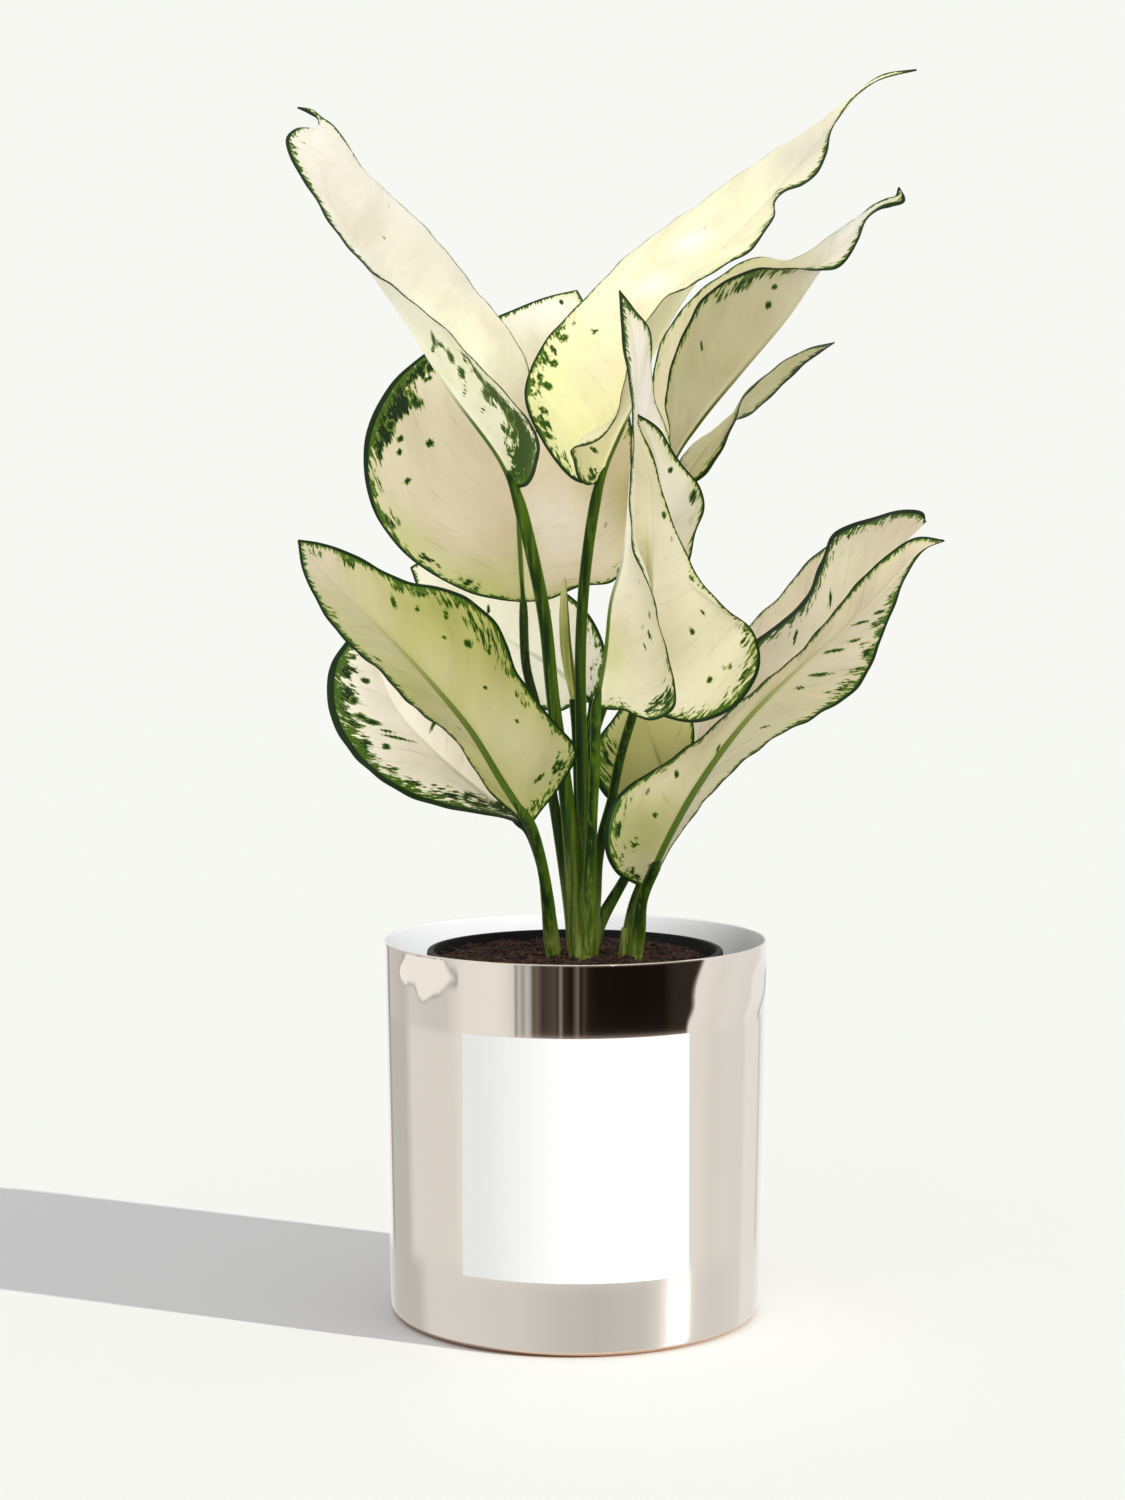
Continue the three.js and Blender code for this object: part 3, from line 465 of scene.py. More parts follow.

# %% [markdown]
# ## The leaves' curves
#
# Each leaf was drawn as curves over the picture, with a depth chosen for each point, and is kept
# here in millimetres: its rib from base to tip, its left and right margins, and its stalk from the
# base down to the soil. The solids are made from nearly the same points, so the fine leaves land
# where the plain ones are. Only a few tips, the margins where the front leaves meet and one rib
# were drawn again here, up to a few millimetres away.

# %% The leaves' curves
LEAVES = {
    "leaf_top_left": dict(
        shoot="stems_centre", arch=0.06, wave=1.0, waves=3,
        rib=[(-21, -6, 300), (-28, -2, 313), (-45, 2, 336), (-61, 2, 361), (-76, -2, 382),
             (-86, -10, 400), (-91, -14, 415), (-94, -8, 425), (-92, 2, 431), (-95, 4, 436),
             (-100, 5, 437)],
        left=[(-17, -14, 301), (-14, -24, 307), (-13, -33, 316), (-19, -38, 327), (-41, -38, 349),
              (-61, -34, 367), (-79, -28, 384), (-92, -24, 401), (-100, -20, 415),
              (-102, -14, 423), (-99, -10, 427), (-96, -6, 428), (-95, -4, 427), (-92, -1, 428),
              (-92, 2, 432), (-96, 4, 435)],
        right=[(-18, 4, 307), (-15, 12, 314), (-14, 22, 331), (-22, 26, 355), (-39, 26, 378),
               (-57, 18, 397), (-72, 6, 411), (-77, 2, 416), (-83, 0, 425), (-88, 3, 431),
               (-91, 4, 433), (-95, 5, 436)],
        stalk=[(-15, -5, 274), (-11, -3, 253), (-8, -2, 224), (-3, -2, 187), (0, -1, 151),
               (1, 0, 132)],
    ),
    "leaf_top_right": dict(
        shoot="stems_centre", arch=0.06, wave=1.0, waves=3,
        rib=[(8, -10, 302), (13, -6, 314), (21, -2, 332), (29, 0, 351), (39, -2, 369),
             (52, -6, 385), (72, -10, 406), (90, -12, 427), (101, -10, 440), (109, -9, 445),
             (121, -8, 448)],
        left=[(2, -10, 302), (-3, -10, 305), (-13, -7, 319), (-18, -4, 334), (-11, 2, 353),
              (5, 12, 370), (28, 20, 393), (53, 16, 410), (77, 4, 424), (93, -4, 435),
              (102, -8, 442), (109, -9, 446)],
        right=[(4, -16, 301), (1, -20, 303), (-1, -26, 309), (-2, -30, 313), (4, -32, 315),
               (9, -33, 318), (14, -32, 325), (17, -29, 336), (21, -24, 350), (30, -26, 365),
               (38, -29, 370), (49, -32, 376), (58, -34, 380), (63, -35, 384), (67, -35, 389),
               (70, -34, 394), (70, -33, 398), (73, -31, 402), (79, -30, 404), (84, -28, 409),
               (87, -26, 416), (88, -24, 422), (91, -21, 428), (96, -17, 435), (103, -13, 441),
               (110, -10, 445)],
        stalk=[(4, -6, 274), (2, -4, 245), (2, -3, 221), (3, -2, 187), (4, 0, 150), (4, 0, 132)],
    ),
    "leaf_back_round": dict(
        shoot="stems_centre", arch=0.06, wave=1.2, waves=3,
        rib=[(-19, 16, 259), (-20, 20, 274), (-21, 30, 297), (-18, 44, 323), (-10, 60, 351),
             (1, 76, 379)],
        left=[(-28, 14, 260), (-40, 14, 263), (-61, 16, 276), (-75, 22, 295), (-78, 32, 319),
              (-69, 44, 341), (-57, 50, 352), (-40, 58, 362), (-13, 70, 375)],
        right=[(-10, 15, 260), (2, 16, 265), (14, 18, 267), (21, 24, 280), (23, 34, 304),
               (20, 48, 331), (12, 64, 357)],
        stalk=[(-18, 12, 236), (-14, 9, 220), (-8, 6, 187), (-2, 4, 150), (0, 3, 132)],
    ),
    "leaf_right_upper": dict(
        shoot="stems_centre", arch=0.06, wave=0.8, waves=3,
        rib=[(30, 24, 289), (36, 26, 311), (46, 26, 326), (61, 24, 344), (78, 22, 364),
             (90, 18, 381), (100, 14, 392), (107, 10, 400), (112, 8, 403), (116, 7, 404),
             (118, 7, 406), (117, 8, 409)],
        left=[(29, 34, 302), (28, 42, 327), (32, 50, 354), (47, 52, 376), (66, 46, 388),
              (82, 36, 386), (96, 24, 395), (104, 14, 400), (108, 11, 403), (113, 9, 405),
              (116, 8, 406)],
        right=[(32, 12, 300), (34, 6, 321), (33, 4, 333), (37, 0, 351), (45, -2, 368),
               (59, -2, 377), (77, 2, 379), (88, 6, 379), (94, 6, 380), (99, 6, 385),
               (102, 6, 390), (105, 6, 397), (110, 7, 401), (114, 7, 402), (119, 7, 404)],
        stalk=[(24, 17, 263), (14, 12, 238), (7, 10, 217), (5, 9, 194), (4, 5, 131)],
    ),
    "leaf_front_tall": dict(
        shoot="stems_centre", arch=0.03, wave=0.8, waves=3,
        rib=[(8, -30, 222), (11, -30, 241), (13, -31, 260), (17, -32, 274), (19, -35, 295),
             (20, -38, 319), (21, -41, 340), (19, -42, 355), (15, -42, 367)],
        left=[(13, -36, 222), (17, -41, 222), (26, -47, 219), (34, -52, 224), (34, -55, 233),
              (29, -57, 250), (25, -58, 263), (20, -59, 276), (19, -60, 294), (19, -60, 315),
              (18, -57, 333), (16, -50, 351)],
        right=[(9, -20, 228), (11, -14, 237), (16, -8, 253), (22, -6, 274), (27, -8, 296),
               (33, -12, 315), (28, -18, 331), (27, -25, 344), (26, -30, 354), (20, -38, 361)],
        stalk=[(7, -22, 203), (6, -13, 181), (5, -6, 151), (5, -3, 132)],
    ),
    "leaf_front_lobed": dict(
        shoot="stems_centre", arch=0.06, wave=0.8, waves=3,
        rib=[(22, -30, 225), (25, -32, 241), (26, -35, 260), (26, -38, 281), (25, -42, 302),
             (20, -50, 325)],
        left=[(29, -28, 220), (43, -24, 217), (57, -20, 223), (65, -20, 236), (63, -23, 249),
              (46, -28, 263), (38, -31, 278), (31, -35, 296), (26, -41, 311), (22, -46, 319)],
        right=[(20, -27, 228), (16, -24, 235), (17, -25, 255), (20, -32, 271), (20, -40, 288),
               (19, -46, 305), (19, -50, 315)],
        stalk=[(20, -27, 219), (16, -18, 204), (13, -10, 188), (10, -6, 176), (8, -4, 165),
               (7, -3, 151), (5, -2, 132)],
    ),
    "leaf_front_inner": dict(
        shoot="stems_centre", arch=0.06, wave=0.6, waves=3,
        rib=[(27, -8, 253), (29, -14, 271), (31, -20, 288), (29, -26, 306), (25, -35, 318),
             (20, -44, 325)],
        left=[(36, -2, 260), (42, -6, 280), (46, -10, 293), (44, -14, 300), (36, -21, 310),
              (29, -32, 320)],
        right=[(24, -10, 263), (24, -18, 281), (24, -27, 299), (22, -38, 316)],
        stalk=[(20, -3, 240), (11, 2, 223), (6, 4, 205), (5, 4, 168), (4, 3, 132)],
    ),
    "leaf_right_slim": dict(
        shoot="stems_centre", arch=0.06, wave=0.6, waves=2,
        rib=[(39, 22, 296), (43, 24, 307), (52, 26, 319), (60, 26, 328), (70, 24, 339),
             (83, 20, 349), (95, 16, 354)],
        left=[(39, 34, 309), (43, 42, 317), (59, 46, 327), (68, 44, 330), (78, 38, 340),
              (86, 28, 348)],
        right=[(42, 14, 301), (48, 8, 307), (53, 6, 314), (58, 4, 324), (63, 4, 335), (72, 8, 344),
               (84, 14, 351)],
        stalk=[(32, 20, 274), (20, 17, 245), (9, 15, 221), (5, 13, 195), (4, 6, 131)],
    ),
    "leaf_left_low": dict(
        shoot="stem_left", arch=0.06, wave=1.2, waves=3,
        rib=[(-16, -20, 180), (-26, -26, 196), (-37, -36, 215), (-50, -46, 232), (-64, -55, 248),
             (-80, -62, 265), (-94, -64, 281)],
        left=[(-12, -15, 185), (-6, -9, 192), (0, -6, 205), (-10, -8, 218), (-19, -10, 232),
              (-28, -16, 251), (-44, -26, 263), (-61, -38, 268), (-77, -50, 276), (-88, -58, 280)],
        right=[(-22, -12, 184), (-29, -8, 190), (-41, -8, 206), (-54, -18, 220), (-64, -30, 231),
               (-77, -42, 243), (-88, -52, 260), (-93, -58, 271)],
        stalk=[(-12, -13, 165), (-10, -9, 152), (-9, -5, 140), (-8, -3, 132)],
    ),
    "leaf_left_low_back": dict(
        shoot="stem_left", arch=0.06, wave=1.2, waves=3,
        rib=[(-17, -4, 178), (-35, 6, 190), (-54, 16, 206), (-68, 26, 222), (-75, 34, 241),
             (-76, 40, 260)],
        left=[(-25, -8, 181), (-39, -10, 184), (-54, -8, 188), (-70, -4, 194), (-82, 6, 205),
              (-91, 18, 221), (-91, 28, 235), (-83, 36, 248)],
        right=[(-21, 8, 190), (-31, 16, 204), (-42, 24, 220), (-51, 32, 237), (-62, 38, 252)],
        stalk=[(-12, -1, 163), (-10, 0, 149), (-8, 1, 132)],
    ),
    "leaf_back_pink": dict(
        shoot="stems_centre", arch=0.06, wave=1.0, waves=3,
        rib=[(6, 26, 222), (-6, 32, 233), (-24, 42, 244), (-44, 52, 257), (-63, 62, 272)],
        left=[(1, 28, 221), (-7, 32, 218), (-24, 40, 225), (-43, 50, 240), (-57, 58, 257)],
        right=[(11, 26, 232), (11, 28, 241), (6, 34, 253), (-9, 46, 266), (-32, 56, 278),
               (-52, 62, 278)],
        stalk=[(3, 19, 200), (3, 12, 167), (2, 7, 131)],
    ),
    "leaf_right_low": dict(
        shoot="stem_right", arch=0.06, wave=1.0, waves=3,
        rib=[(25, -8, 156), (33, -20, 175), (44, -30, 196), (59, -40, 218), (77, -48, 237),
             (96, -54, 254), (110, -56, 269), (117, -56, 277), (126, -54, 281)],
        left=[(28, -4, 158), (32, -2, 165), (40, -2, 178), (50, -10, 193), (69, -18, 209),
              (86, -28, 221), (100, -36, 232), (108, -46, 253), (113, -51, 269), (119, -55, 278)],
        right=[(21, -9, 158), (15, -12, 162), (11, -15, 171), (13, -15, 186), (20, -13, 194),
               (32, -10, 202), (50, -9, 214), (73, -18, 236), (92, -30, 257), (105, -42, 273),
               (117, -50, 282)],
        stalk=[(24, -6, 150), (23, -3, 139), (22, -2, 132)],
    ),
    "leaf_right_low_back": dict(
        shoot="stem_right", arch=0.06, wave=0.6, waves=3,
        rib=[(34, 12, 180), (46, 12, 197), (61, 8, 219), (72, 3, 232), (86, -2, 245),
             (100, -8, 263), (108, -12, 273), (116, -16, 280), (124, -22, 288)],
        left=[(35, 28, 192), (47, 34, 220), (63, 32, 247), (76, 24, 262), (89, 14, 277),
              (100, 4, 283), (113, -8, 286)],
        right=[(42, 2, 191), (53, -1, 211), (64, -8, 245), (74, -14, 253), (82, -18, 261),
               (87, -21, 273), (91, -24, 284), (103, -28, 289), (116, -27, 292), (123, -24, 291)],
        stalk=[(28, 8, 164), (22, 4, 149), (19, 1, 132)],
    ),
    "leaf_back_small": dict(
        shoot="stems_centre", arch=0.06, wave=0.8, waves=2,
        rib=[(32, 10, 189), (31, 6, 200), (27, 4, 212), (26, 6, 225), (27, 8, 236)],
        left=[(27, 4, 191), (14, -2, 187), (7, -4, 198), (8, -3, 209), (14, 0, 217), (21, 4, 227)],
        right=[(39, 8, 194), (43, 6, 207), (42, 6, 218), (35, 8, 230)],
        stalk=[(28, 10, 175), (18, 9, 157), (9, 7, 141), (6, 6, 131)],
    ),
}
NEW_LEAF = dict(
    shoot="stems_centre", foot_radius=2.6, tip_radius=0.5,
    rib=[(0, 3, 224), (-3, 3, 242), (-4, 3, 256), (-4, 2, 268)],
    stalk=[(1, 3, 194), (2, 2, 157), (3, 2, 132)],
)
print("leaves:", len(LEAVES), "and one still rolled")

# %% [markdown]
# ## Leaf blades as fine grids
#
# A living blade isn't a flat plate. It arches between rib and margin, its margin ripples, its
# side veins pull shallow valleys into it, and its rib is a groove above and a ridge below. Cloth
# simulation would flatten all that, and sculpting can't be written down. So each blade is a grid
# of points worked out with array arithmetic: rows run across the blade from margin to margin, and
# each effect is one term that moves the points along the surface's own direction.
#
# Every point also keeps what a finish needs to know: how far it is from the rib, from the base
# and from the margin, where it lies between two side veins, and which face it is on.

# %% Leaf blades as fine grids
BLADE_ROWS = 170
BLADE_HALF_COLUMNS = 26
BLADE_CROWDING = 1.3
ROW = np.arange(BLADE_ROWS + 1) / BLADE_ROWS
ROW_SHARES = (ROW**BLADE_CROWDING + 1 - (1 - ROW) ** BLADE_CROWDING) / 2
BLADE_TIP_HALF_WIDTH = 0.35
SIDE_CLAMP = 0.028
MARGIN_WAVE_SHIFT = 2.0
BLADE_THICK = 0.55
MARGIN_THICK = 0.24
RIB_HEIGHT = 1.3
RIB_WIDTH = 1.3
GROOVE_DEPTH = 0.3
VEIN_SPACING = 8.5
VEIN_SWEEP = 0.75
VEIN_WANDER = 2.2
WANDER_ALONG = (17.0, 23.0)
WANDER_OFF = 9.0
COLUMN_EVENNESS = 0.45
QUILT_HEIGHT = 0.05
BUCKLE_HEIGHT = 0.35
BUCKLE_SPACING = 27.0
RUFFLE_HEIGHT = 0.22
RUFFLE_LENGTHS = (19.0, 11.0)
NARROW_BLADE = (2, 12)


def smooth_step(low, high, value):
    share = np.clip((value - low) / (high - low), 0, 1)
    return share * share * (3 - 2 * share)


def unit(vectors):
    return vectors / np.maximum(np.linalg.norm(vectors, axis=-1, keepdims=True), 1e-9)


def grid_directions(grid):
    """The surface's own direction at each point of a grid: across one way, along the other."""
    across = np.empty_like(grid)
    across[:, 1:-1] = grid[:, 2:] - grid[:, :-2]
    across[:, 0] = grid[:, 1] - grid[:, 0]
    across[:, -1] = grid[:, -1] - grid[:, -2]
    along = np.empty_like(grid)
    along[1:-1] = grid[2:] - grid[:-2]
    along[0] = grid[1] - grid[0]
    along[-1] = grid[-1] - grid[-2]
    return unit(np.cross(across, along))


def vein_place(along_mm, off, width, seed):
    """Where a point lies in the row of side veins, which sweep forward and wander a little."""
    forward = VEIN_SWEEP * off * (0.7 + 0.5 * off / np.maximum(width, 1e-6))
    short, long = WANDER_ALONG
    wander = np.sin(along_mm / short + 3 * seed)
    wander = wander + np.sin(off / WANDER_OFF + along_mm / long + seed)
    return along_mm - forward + VEIN_WANDER * wander * smooth_step(0, 12, off)


print("rows and columns of a blade:", BLADE_ROWS + 1, "x", 2 * BLADE_HALF_COLUMNS + 1)

# %% The middle surface of a blade
def blade_surface(leaf, seed):
    """The middle surface of a blade, and each point's distances from rib, base and margin."""
    random = np.random.default_rng(seed)
    rib = Route(leaf["rib"])
    ends = [leaf["rib"][0]], [leaf["rib"][-1]]
    left = Route(ends[0] + leaf["left"] + ends[1])
    right = Route(ends[0] + leaf["right"] + ends[1])
    t = ROW_SHARES
    middle, forward = rib.at(t), rib.towards(np.clip(t, 0.002, 0.998))
    near = np.clip(t, SIDE_CLAMP, 1 - SIDE_CLAMP)
    side = right.at(near) - left.at(near)
    side = unit(side - (side * forward).sum(-1, keepdims=True) * forward)
    halves = [
        left.at(t) - middle - BLADE_TIP_HALF_WIDTH * side,
        right.at(t) - middle + BLADE_TIP_HALF_WIDTH * side,
    ]
    x = np.linspace(0, 1, BLADE_HALF_COLUMNS + 1)
    u = COLUMN_EVENNESS * x + (1 - COLUMN_EVENNESS) * x * x * (3 - 2 * x)
    grid = np.concatenate(
        [
            middle[:, None] + halves[0][:, None] * u[:0:-1, None],
            middle[:, None] + halves[1][:, None] * u[:, None],
        ],
        axis=1,
    )
    share = np.concatenate([-u[:0:-1], u])[None, :] * np.ones((len(t), 1))
    reach = [np.linalg.norm(half, axis=-1)[:, None] for half in halves]
    width = np.where(share < 0, reach[0], reach[1])
    rib_mm = share * width
    off = np.abs(rib_mm)
    along_mm = t[:, None] * rib.length * np.ones_like(share)
    vein_mm = vein_place(along_mm, off, width, seed)
    swell = np.sin(math.pi * t)[:, None]
    phase = np.where(share < 0, 0, MARGIN_WAVE_SHIFT)
    wave = np.sin(2 * math.pi * leaf["waves"] * t[:, None] + phase)
    starts = random.uniform(0, 1, (len(RUFFLE_LENGTHS), 2))[:, (share > 0).astype(int)]
    turns = [along_mm / step + start for step, start in zip(RUFFLE_LENGTHS, starts)]
    ruffle = sum(np.sin(2 * math.pi * turn) for turn in turns)
    quilt = np.cos(2 * math.pi * vein_mm / VEIN_SPACING)
    quilted = smooth_step(2, 10, off) * smooth_step(0, 6, width - off)
    rise = (
        4 * leaf["arch"] * width * np.abs(share) * (1 - np.abs(share))
        + leaf["wave"] * swell * share**2 * wave
        + RUFFLE_HEIGHT * swell * share**6 * ruffle
        - QUILT_HEIGHT * quilted * quilt
        + BUCKLE_HEIGHT * quilted * np.sin(2 * math.pi * vein_mm / BUCKLE_SPACING + seed)
    )
    grid = grid + rise[..., None] * grid_directions(grid)
    facts = dict(rib_mm=rib_mm, along_mm=along_mm, edge_mm=width - off, vein_mm=vein_mm)
    return grid, facts, rib.length


print("middle surface ready")

# %% A blade's two faces
def blade_mesh_data(leaf, seed):
    """A closed thin blade: its points, its faces and its facts, upper face first."""
    grid, facts, length = blade_surface(leaf, seed)
    rows, columns = grid.shape[:2]
    normals = grid_directions(grid)
    common = unit(normals.sum(1, keepdims=True))
    width = np.linalg.norm(grid[:, 0] - grid[:, -1], axis=-1)[:, None]
    fold = smooth_step(*NARROW_BLADE, width)[..., None]
    normals = unit(common * (1 - fold) + normals * fold)
    off = np.abs(facts["rib_mm"])
    thick = MARGIN_THICK + (BLADE_THICK - MARGIN_THICK) * smooth_step(0, 6, facts["edge_mm"])
    bulge = np.exp(-((off / RIB_WIDTH) ** 2)) * smooth_step(0, 9, width)
    fade = 1 - facts["along_mm"] / length
    upper = grid + (thick / 2 - GROOVE_DEPTH * bulge * fade)[..., None] * normals
    lower = grid - (thick / 2 + RIB_HEIGHT * bulge * fade)[..., None] * normals
    points = np.concatenate([upper.reshape(-1, 3), lower.reshape(-1, 3)])
    facts = {name: np.concatenate([value.ravel()] * 2) for name, value in facts.items()}
    facts["under"] = np.repeat([0.0, 1.0], rows * columns)
    return points, sheet_faces(rows, columns), facts, length


print("blade faces ready")

# %% [markdown]
# ## The leaf finish
#
# This plant's leaves are cream, from yellowish to pinkish, with a dark green margin. Green breaks
# up inwards from the margin into streaks and specks that follow the side veins, and a few leaves
# have large mottled patches. Below, the rib is green and raised.
#
# One tree of nodes paints them all. It reads the facts kept on the blade, so margins and veins
# stay true on every leaf, whatever its bend. Where the face turns yellow or pink, how wide the
# margin is, where green gathers and where the few large marks lie is chosen for each leaf
# and kept on its points too. Noise then breaks each of these up, so that none looks drawn.

# %% The leaf finish
MARGIN_GREEN = colour(20, 42, 12)
LEAF_GREEN = colour(62, 98, 16)
FRINGE_GREEN = colour(140, 156, 58)
RIB_GREEN = colour(74, 100, 14)
RIB_PALE = colour(150, 156, 66)
VEIN_OLIVE = colour(140, 134, 78)
SPOT_BROWN = colour(84, 84, 40)
SHADE = colour(218, 213, 200)
SIDE_SHIFT = 3.7


class LeafSkin(Finish):
    """A leaf's finish. It knows each point's place on the blade, and colours its face in layers."""

    def __init__(self, name, look, length, seed):
        super().__init__(name + "_skin", Roughness=0.5, Specular_IOR_Level=0.15)
        self.look, self.length = look, length
        for fact in ("rib_mm", "along_mm", "edge_mm", "vein_mm", "under", "rim_mm", "green", "mark"):
            setattr(self, fact, self.attribute(fact))
        self.face = self.attribute("face", "Color")
        self.off = self.math("ABSOLUTE", self.rib_mm)
        half = self.math("MULTIPLY", self.math("SIGN", self.rib_mm), SIDE_SHIFT)
        self.side = self.math("ADD", half, seed)
        self.broad = self.streaky(0.06, 0.035, 2.0)
        self.coarse = self.streaky(0.3, 0.17, 3.0)
        self.fine = self.streaky(0.8, 0.42, 2.5)
        self.ragged = self.math("SUBTRACT", self.math("MULTIPLY", self.fine, 4.0), 2.0)

    def streaky(self, across, down, detail):
        """Noise drawn out along the side veins. The scales are in turns a millimetre."""
        x = self.math("MULTIPLY", self.vein_mm, across)
        y = self.math("MULTIPLY", self.off, down)
        return self.noise(self.vector(x, y, self.side), 1.0, detail, 0.6)

    def over(self, share, shade, blend="MIX"):
        """Lays one more colour over the face."""
        self.face = self.mix(share, self.face, shade, blend)


print("leaf skin ready")

# %% Soft shade and veins
def shade_face(skin):
    """Soft shade in two sizes, so that the cream isn't flat."""
    skin.over(skin.step(skin.broad, 0.42, 0.68, 0.0, 0.22), SHADE, "MULTIPLY")
    skin.over(skin.step(skin.coarse, 0.5, 0.75, 0.0, 0.16), SHADE, "MULTIPLY")


def draw_veins(skin):
    """Thin olive lines along the side veins, broken up. Gives back where they are."""
    lines = skin.math("COSINE", skin.math("MULTIPLY", skin.vein_mm, 2 * math.pi / VEIN_SPACING))
    lines = skin.math("MULTIPLY", skin.step(lines, 0.9, 1.0), skin.step(skin.off, 1.0, 6.0))
    lines = skin.math("MULTIPLY", lines, skin.step(skin.coarse, 0.4, 0.6))
    strength = skin.step(skin.broad, 0.36, 0.62, 0.0, skin.look["veins"])
    veined = skin.math("MULTIPLY", lines, strength)
    skin.over(veined, VEIN_OLIVE)
    return veined


print("shade and veins ready")

# %% Mottling, marks and margin
def mottle(skin):
    """Green broken into streaks by the noise, as dense as the blade's fact `green` says."""
    grain = skin.math("MULTIPLY", skin.math("ADD", skin.coarse, skin.fine), 0.5)
    level = skin.math("MULTIPLY", skin.math("SQRT", skin.green), -0.26)
    speck = skin.math("SUBTRACT", skin.math("SUBTRACT", grain, level), 0.75)
    skin.over(skin.step(speck, -0.05, 0.0, 0.0, 0.6), FRINGE_GREEN)
    skin.over(skin.step(speck, 0.0, 0.018), LEAF_GREEN)
    skin.over(skin.step(speck, 0.018, 0.07, 0.0, skin.look["deep"]), MARGIN_GREEN)


def draw_marks(skin):
    """The few large streaks, with ragged outlines."""
    torn = skin.math("ADD", skin.mark, skin.math("MULTIPLY", skin.ragged, 0.2))
    skin.over(skin.step(torn, 0.34, 0.46, 0.0, 0.7), FRINGE_GREEN)
    skin.over(skin.step(torn, 0.46, 0.56), LEAF_GREEN)
    skin.over(skin.step(torn, 0.55, 0.75, 0.0, skin.look["deep"]), MARGIN_GREEN)


def draw_margin(skin):
    """A green band along the edge, uneven inwards, with a dark line at the edge itself."""
    uneven = skin.math("MULTIPLY", skin.math("ADD", skin.ragged, 1.0), skin.rim_mm)
    band = skin.math("SUBTRACT", uneven, skin.edge_mm)
    skin.over(skin.step(band, -0.7, -0.05, 0.0, 0.8), FRINGE_GREEN)
    skin.over(skin.step(band, -0.15, 0.15), LEAF_GREEN)
    line = skin.math("SUBTRACT", skin.math("MULTIPLY", skin.rim_mm, 0.55), skin.edge_mm)
    skin.over(skin.step(line, -0.1, 0.1), MARGIN_GREEN)


print("green ready")

# %% Brown dots, the rib and the whole skin
def dot_brown(skin):
    """Small brown dots, a few centimetres apart."""
    cells = {"Vector": skin.vector(skin.vein_mm, skin.off, skin.side), "Scale": 0.06}
    near = skin.node("TexVoronoi", cells, output="Distance")
    near = skin.math("ADD", near, skin.math("MULTIPLY", skin.fine, 0.1))
    skin.over(skin.step(near, 0.085, 0.12, skin.look["spots"], 0.0), SPOT_BROWN)


def draw_rib(skin):
    """The rib, slimmer and paler towards the tip and faint on top, and the green at the base."""
    along, length, rib_to = skin.along_mm, skin.length, skin.look["rib_to"]
    slim = skin.step(along, -0.2 * length, 0.95 * length, 1.3, 0.2)
    ridge = skin.step(skin.math("SUBTRACT", skin.off, slim), -0.3, 0.2, 1.0, 0.0)
    reach = skin.step(along, rib_to * 0.4 * length, rib_to * length, 1.0, 0.0)
    below = skin.step(skin.under, 0.0, 1.0, skin.look["rib_up"], 1.0)
    ribbed = skin.math("MULTIPLY", skin.math("MULTIPLY", ridge, reach), below)
    tone = skin.mix(skin.step(along, 0.15 * length, 0.85 * length), RIB_GREEN, RIB_PALE)
    skin.over(ribbed, tone)
    from_base = skin.math("ADD", along, skin.math("MULTIPLY", skin.off, 0.6))
    skin.over(skin.step(from_base, 1.0, 5.0, 0.9, 0.0), LEAF_GREEN)


def leaf_finish(name, look, length, seed):
    skin = LeafSkin(name, look, length, seed)
    shade_face(skin)
    veined = draw_veins(skin)
    mottle(skin)
    draw_marks(skin)
    draw_margin(skin)
    dot_brown(skin)
    draw_rib(skin)
    skin.set(Base_Color=skin.face)
    relief = skin.math("SUBTRACT", skin.fine, skin.math("MULTIPLY", veined, 0.8))
    skin.bump(relief, 0.12, 0.2 * MM)
    return skin.material


print("leaf finish ready")

# %% [markdown]
# ## Looks, leaf by leaf
#
# Each leaf's own look. `face` is its main colour, partly the leaf's own and partly painted shade,
# darker where a leaf lies in shade. `tints` are soft clouds of another colour, some the leaf's own
# and some painted highlights, painted glow and painted shade: where along the rib, where across
# (minus to the left), how wide in millimetres, how strong, and the colour. `rim_left` and
# `rim_right` give the width of the green margin in millimetres at a few shares of the length.
# `patches` are mottled green places: where, across, how wide and how strong. `marks` are single
# streaks: where, across, and how long and how wide in millimetres. A streak lies along the side
# veins.
#
# `veins` says how much the side veins show, `spots` the small brown dots, `halo` the yellow-green
# glow inside the margin, and `deep` how dark the thickest green gets, kept lighter on the leaves in
# full light as painted light. `rib_to` is how far up the blade the green rib runs, and `rib_up` how
# much of it shows on the upper face.

# %% Colours of the leaves
CREAM = colour(236, 231, 219)
# A pale face colour, also laid on as painted highlight.
BRIGHT_AND_HIGHLIGHT = colour(254, 251, 234)
# A painted glow of light, laid on the leaves as tints.
PAINTED_GLOW = colour(254, 252, 214)
YELLOW = colour(249, 244, 206)
LEMON = colour(246, 244, 182)
PINKISH = colour(240, 230, 214)
PALE_ROSE = colour(242, 234, 225)
LIGHT_ROSE = colour(252, 243, 228)
DUSK_ROSE = colour(222, 213, 199)
SILVER = colour(236, 234, 230)
ROSY = colour(226, 212, 184)
BEIGE = colour(234, 225, 199)
GREY_PINK = colour(210, 198, 170)
SAND = colour(206, 198, 156)
STRAW = colour(188, 184, 116)
# An olive of the leaves' own, also laid on as painted shade.
OLIVE = colour(158, 158, 84)
MOSS = colour(190, 196, 96)
HALO = colour(196, 202, 106)
print("leaf colours ready")

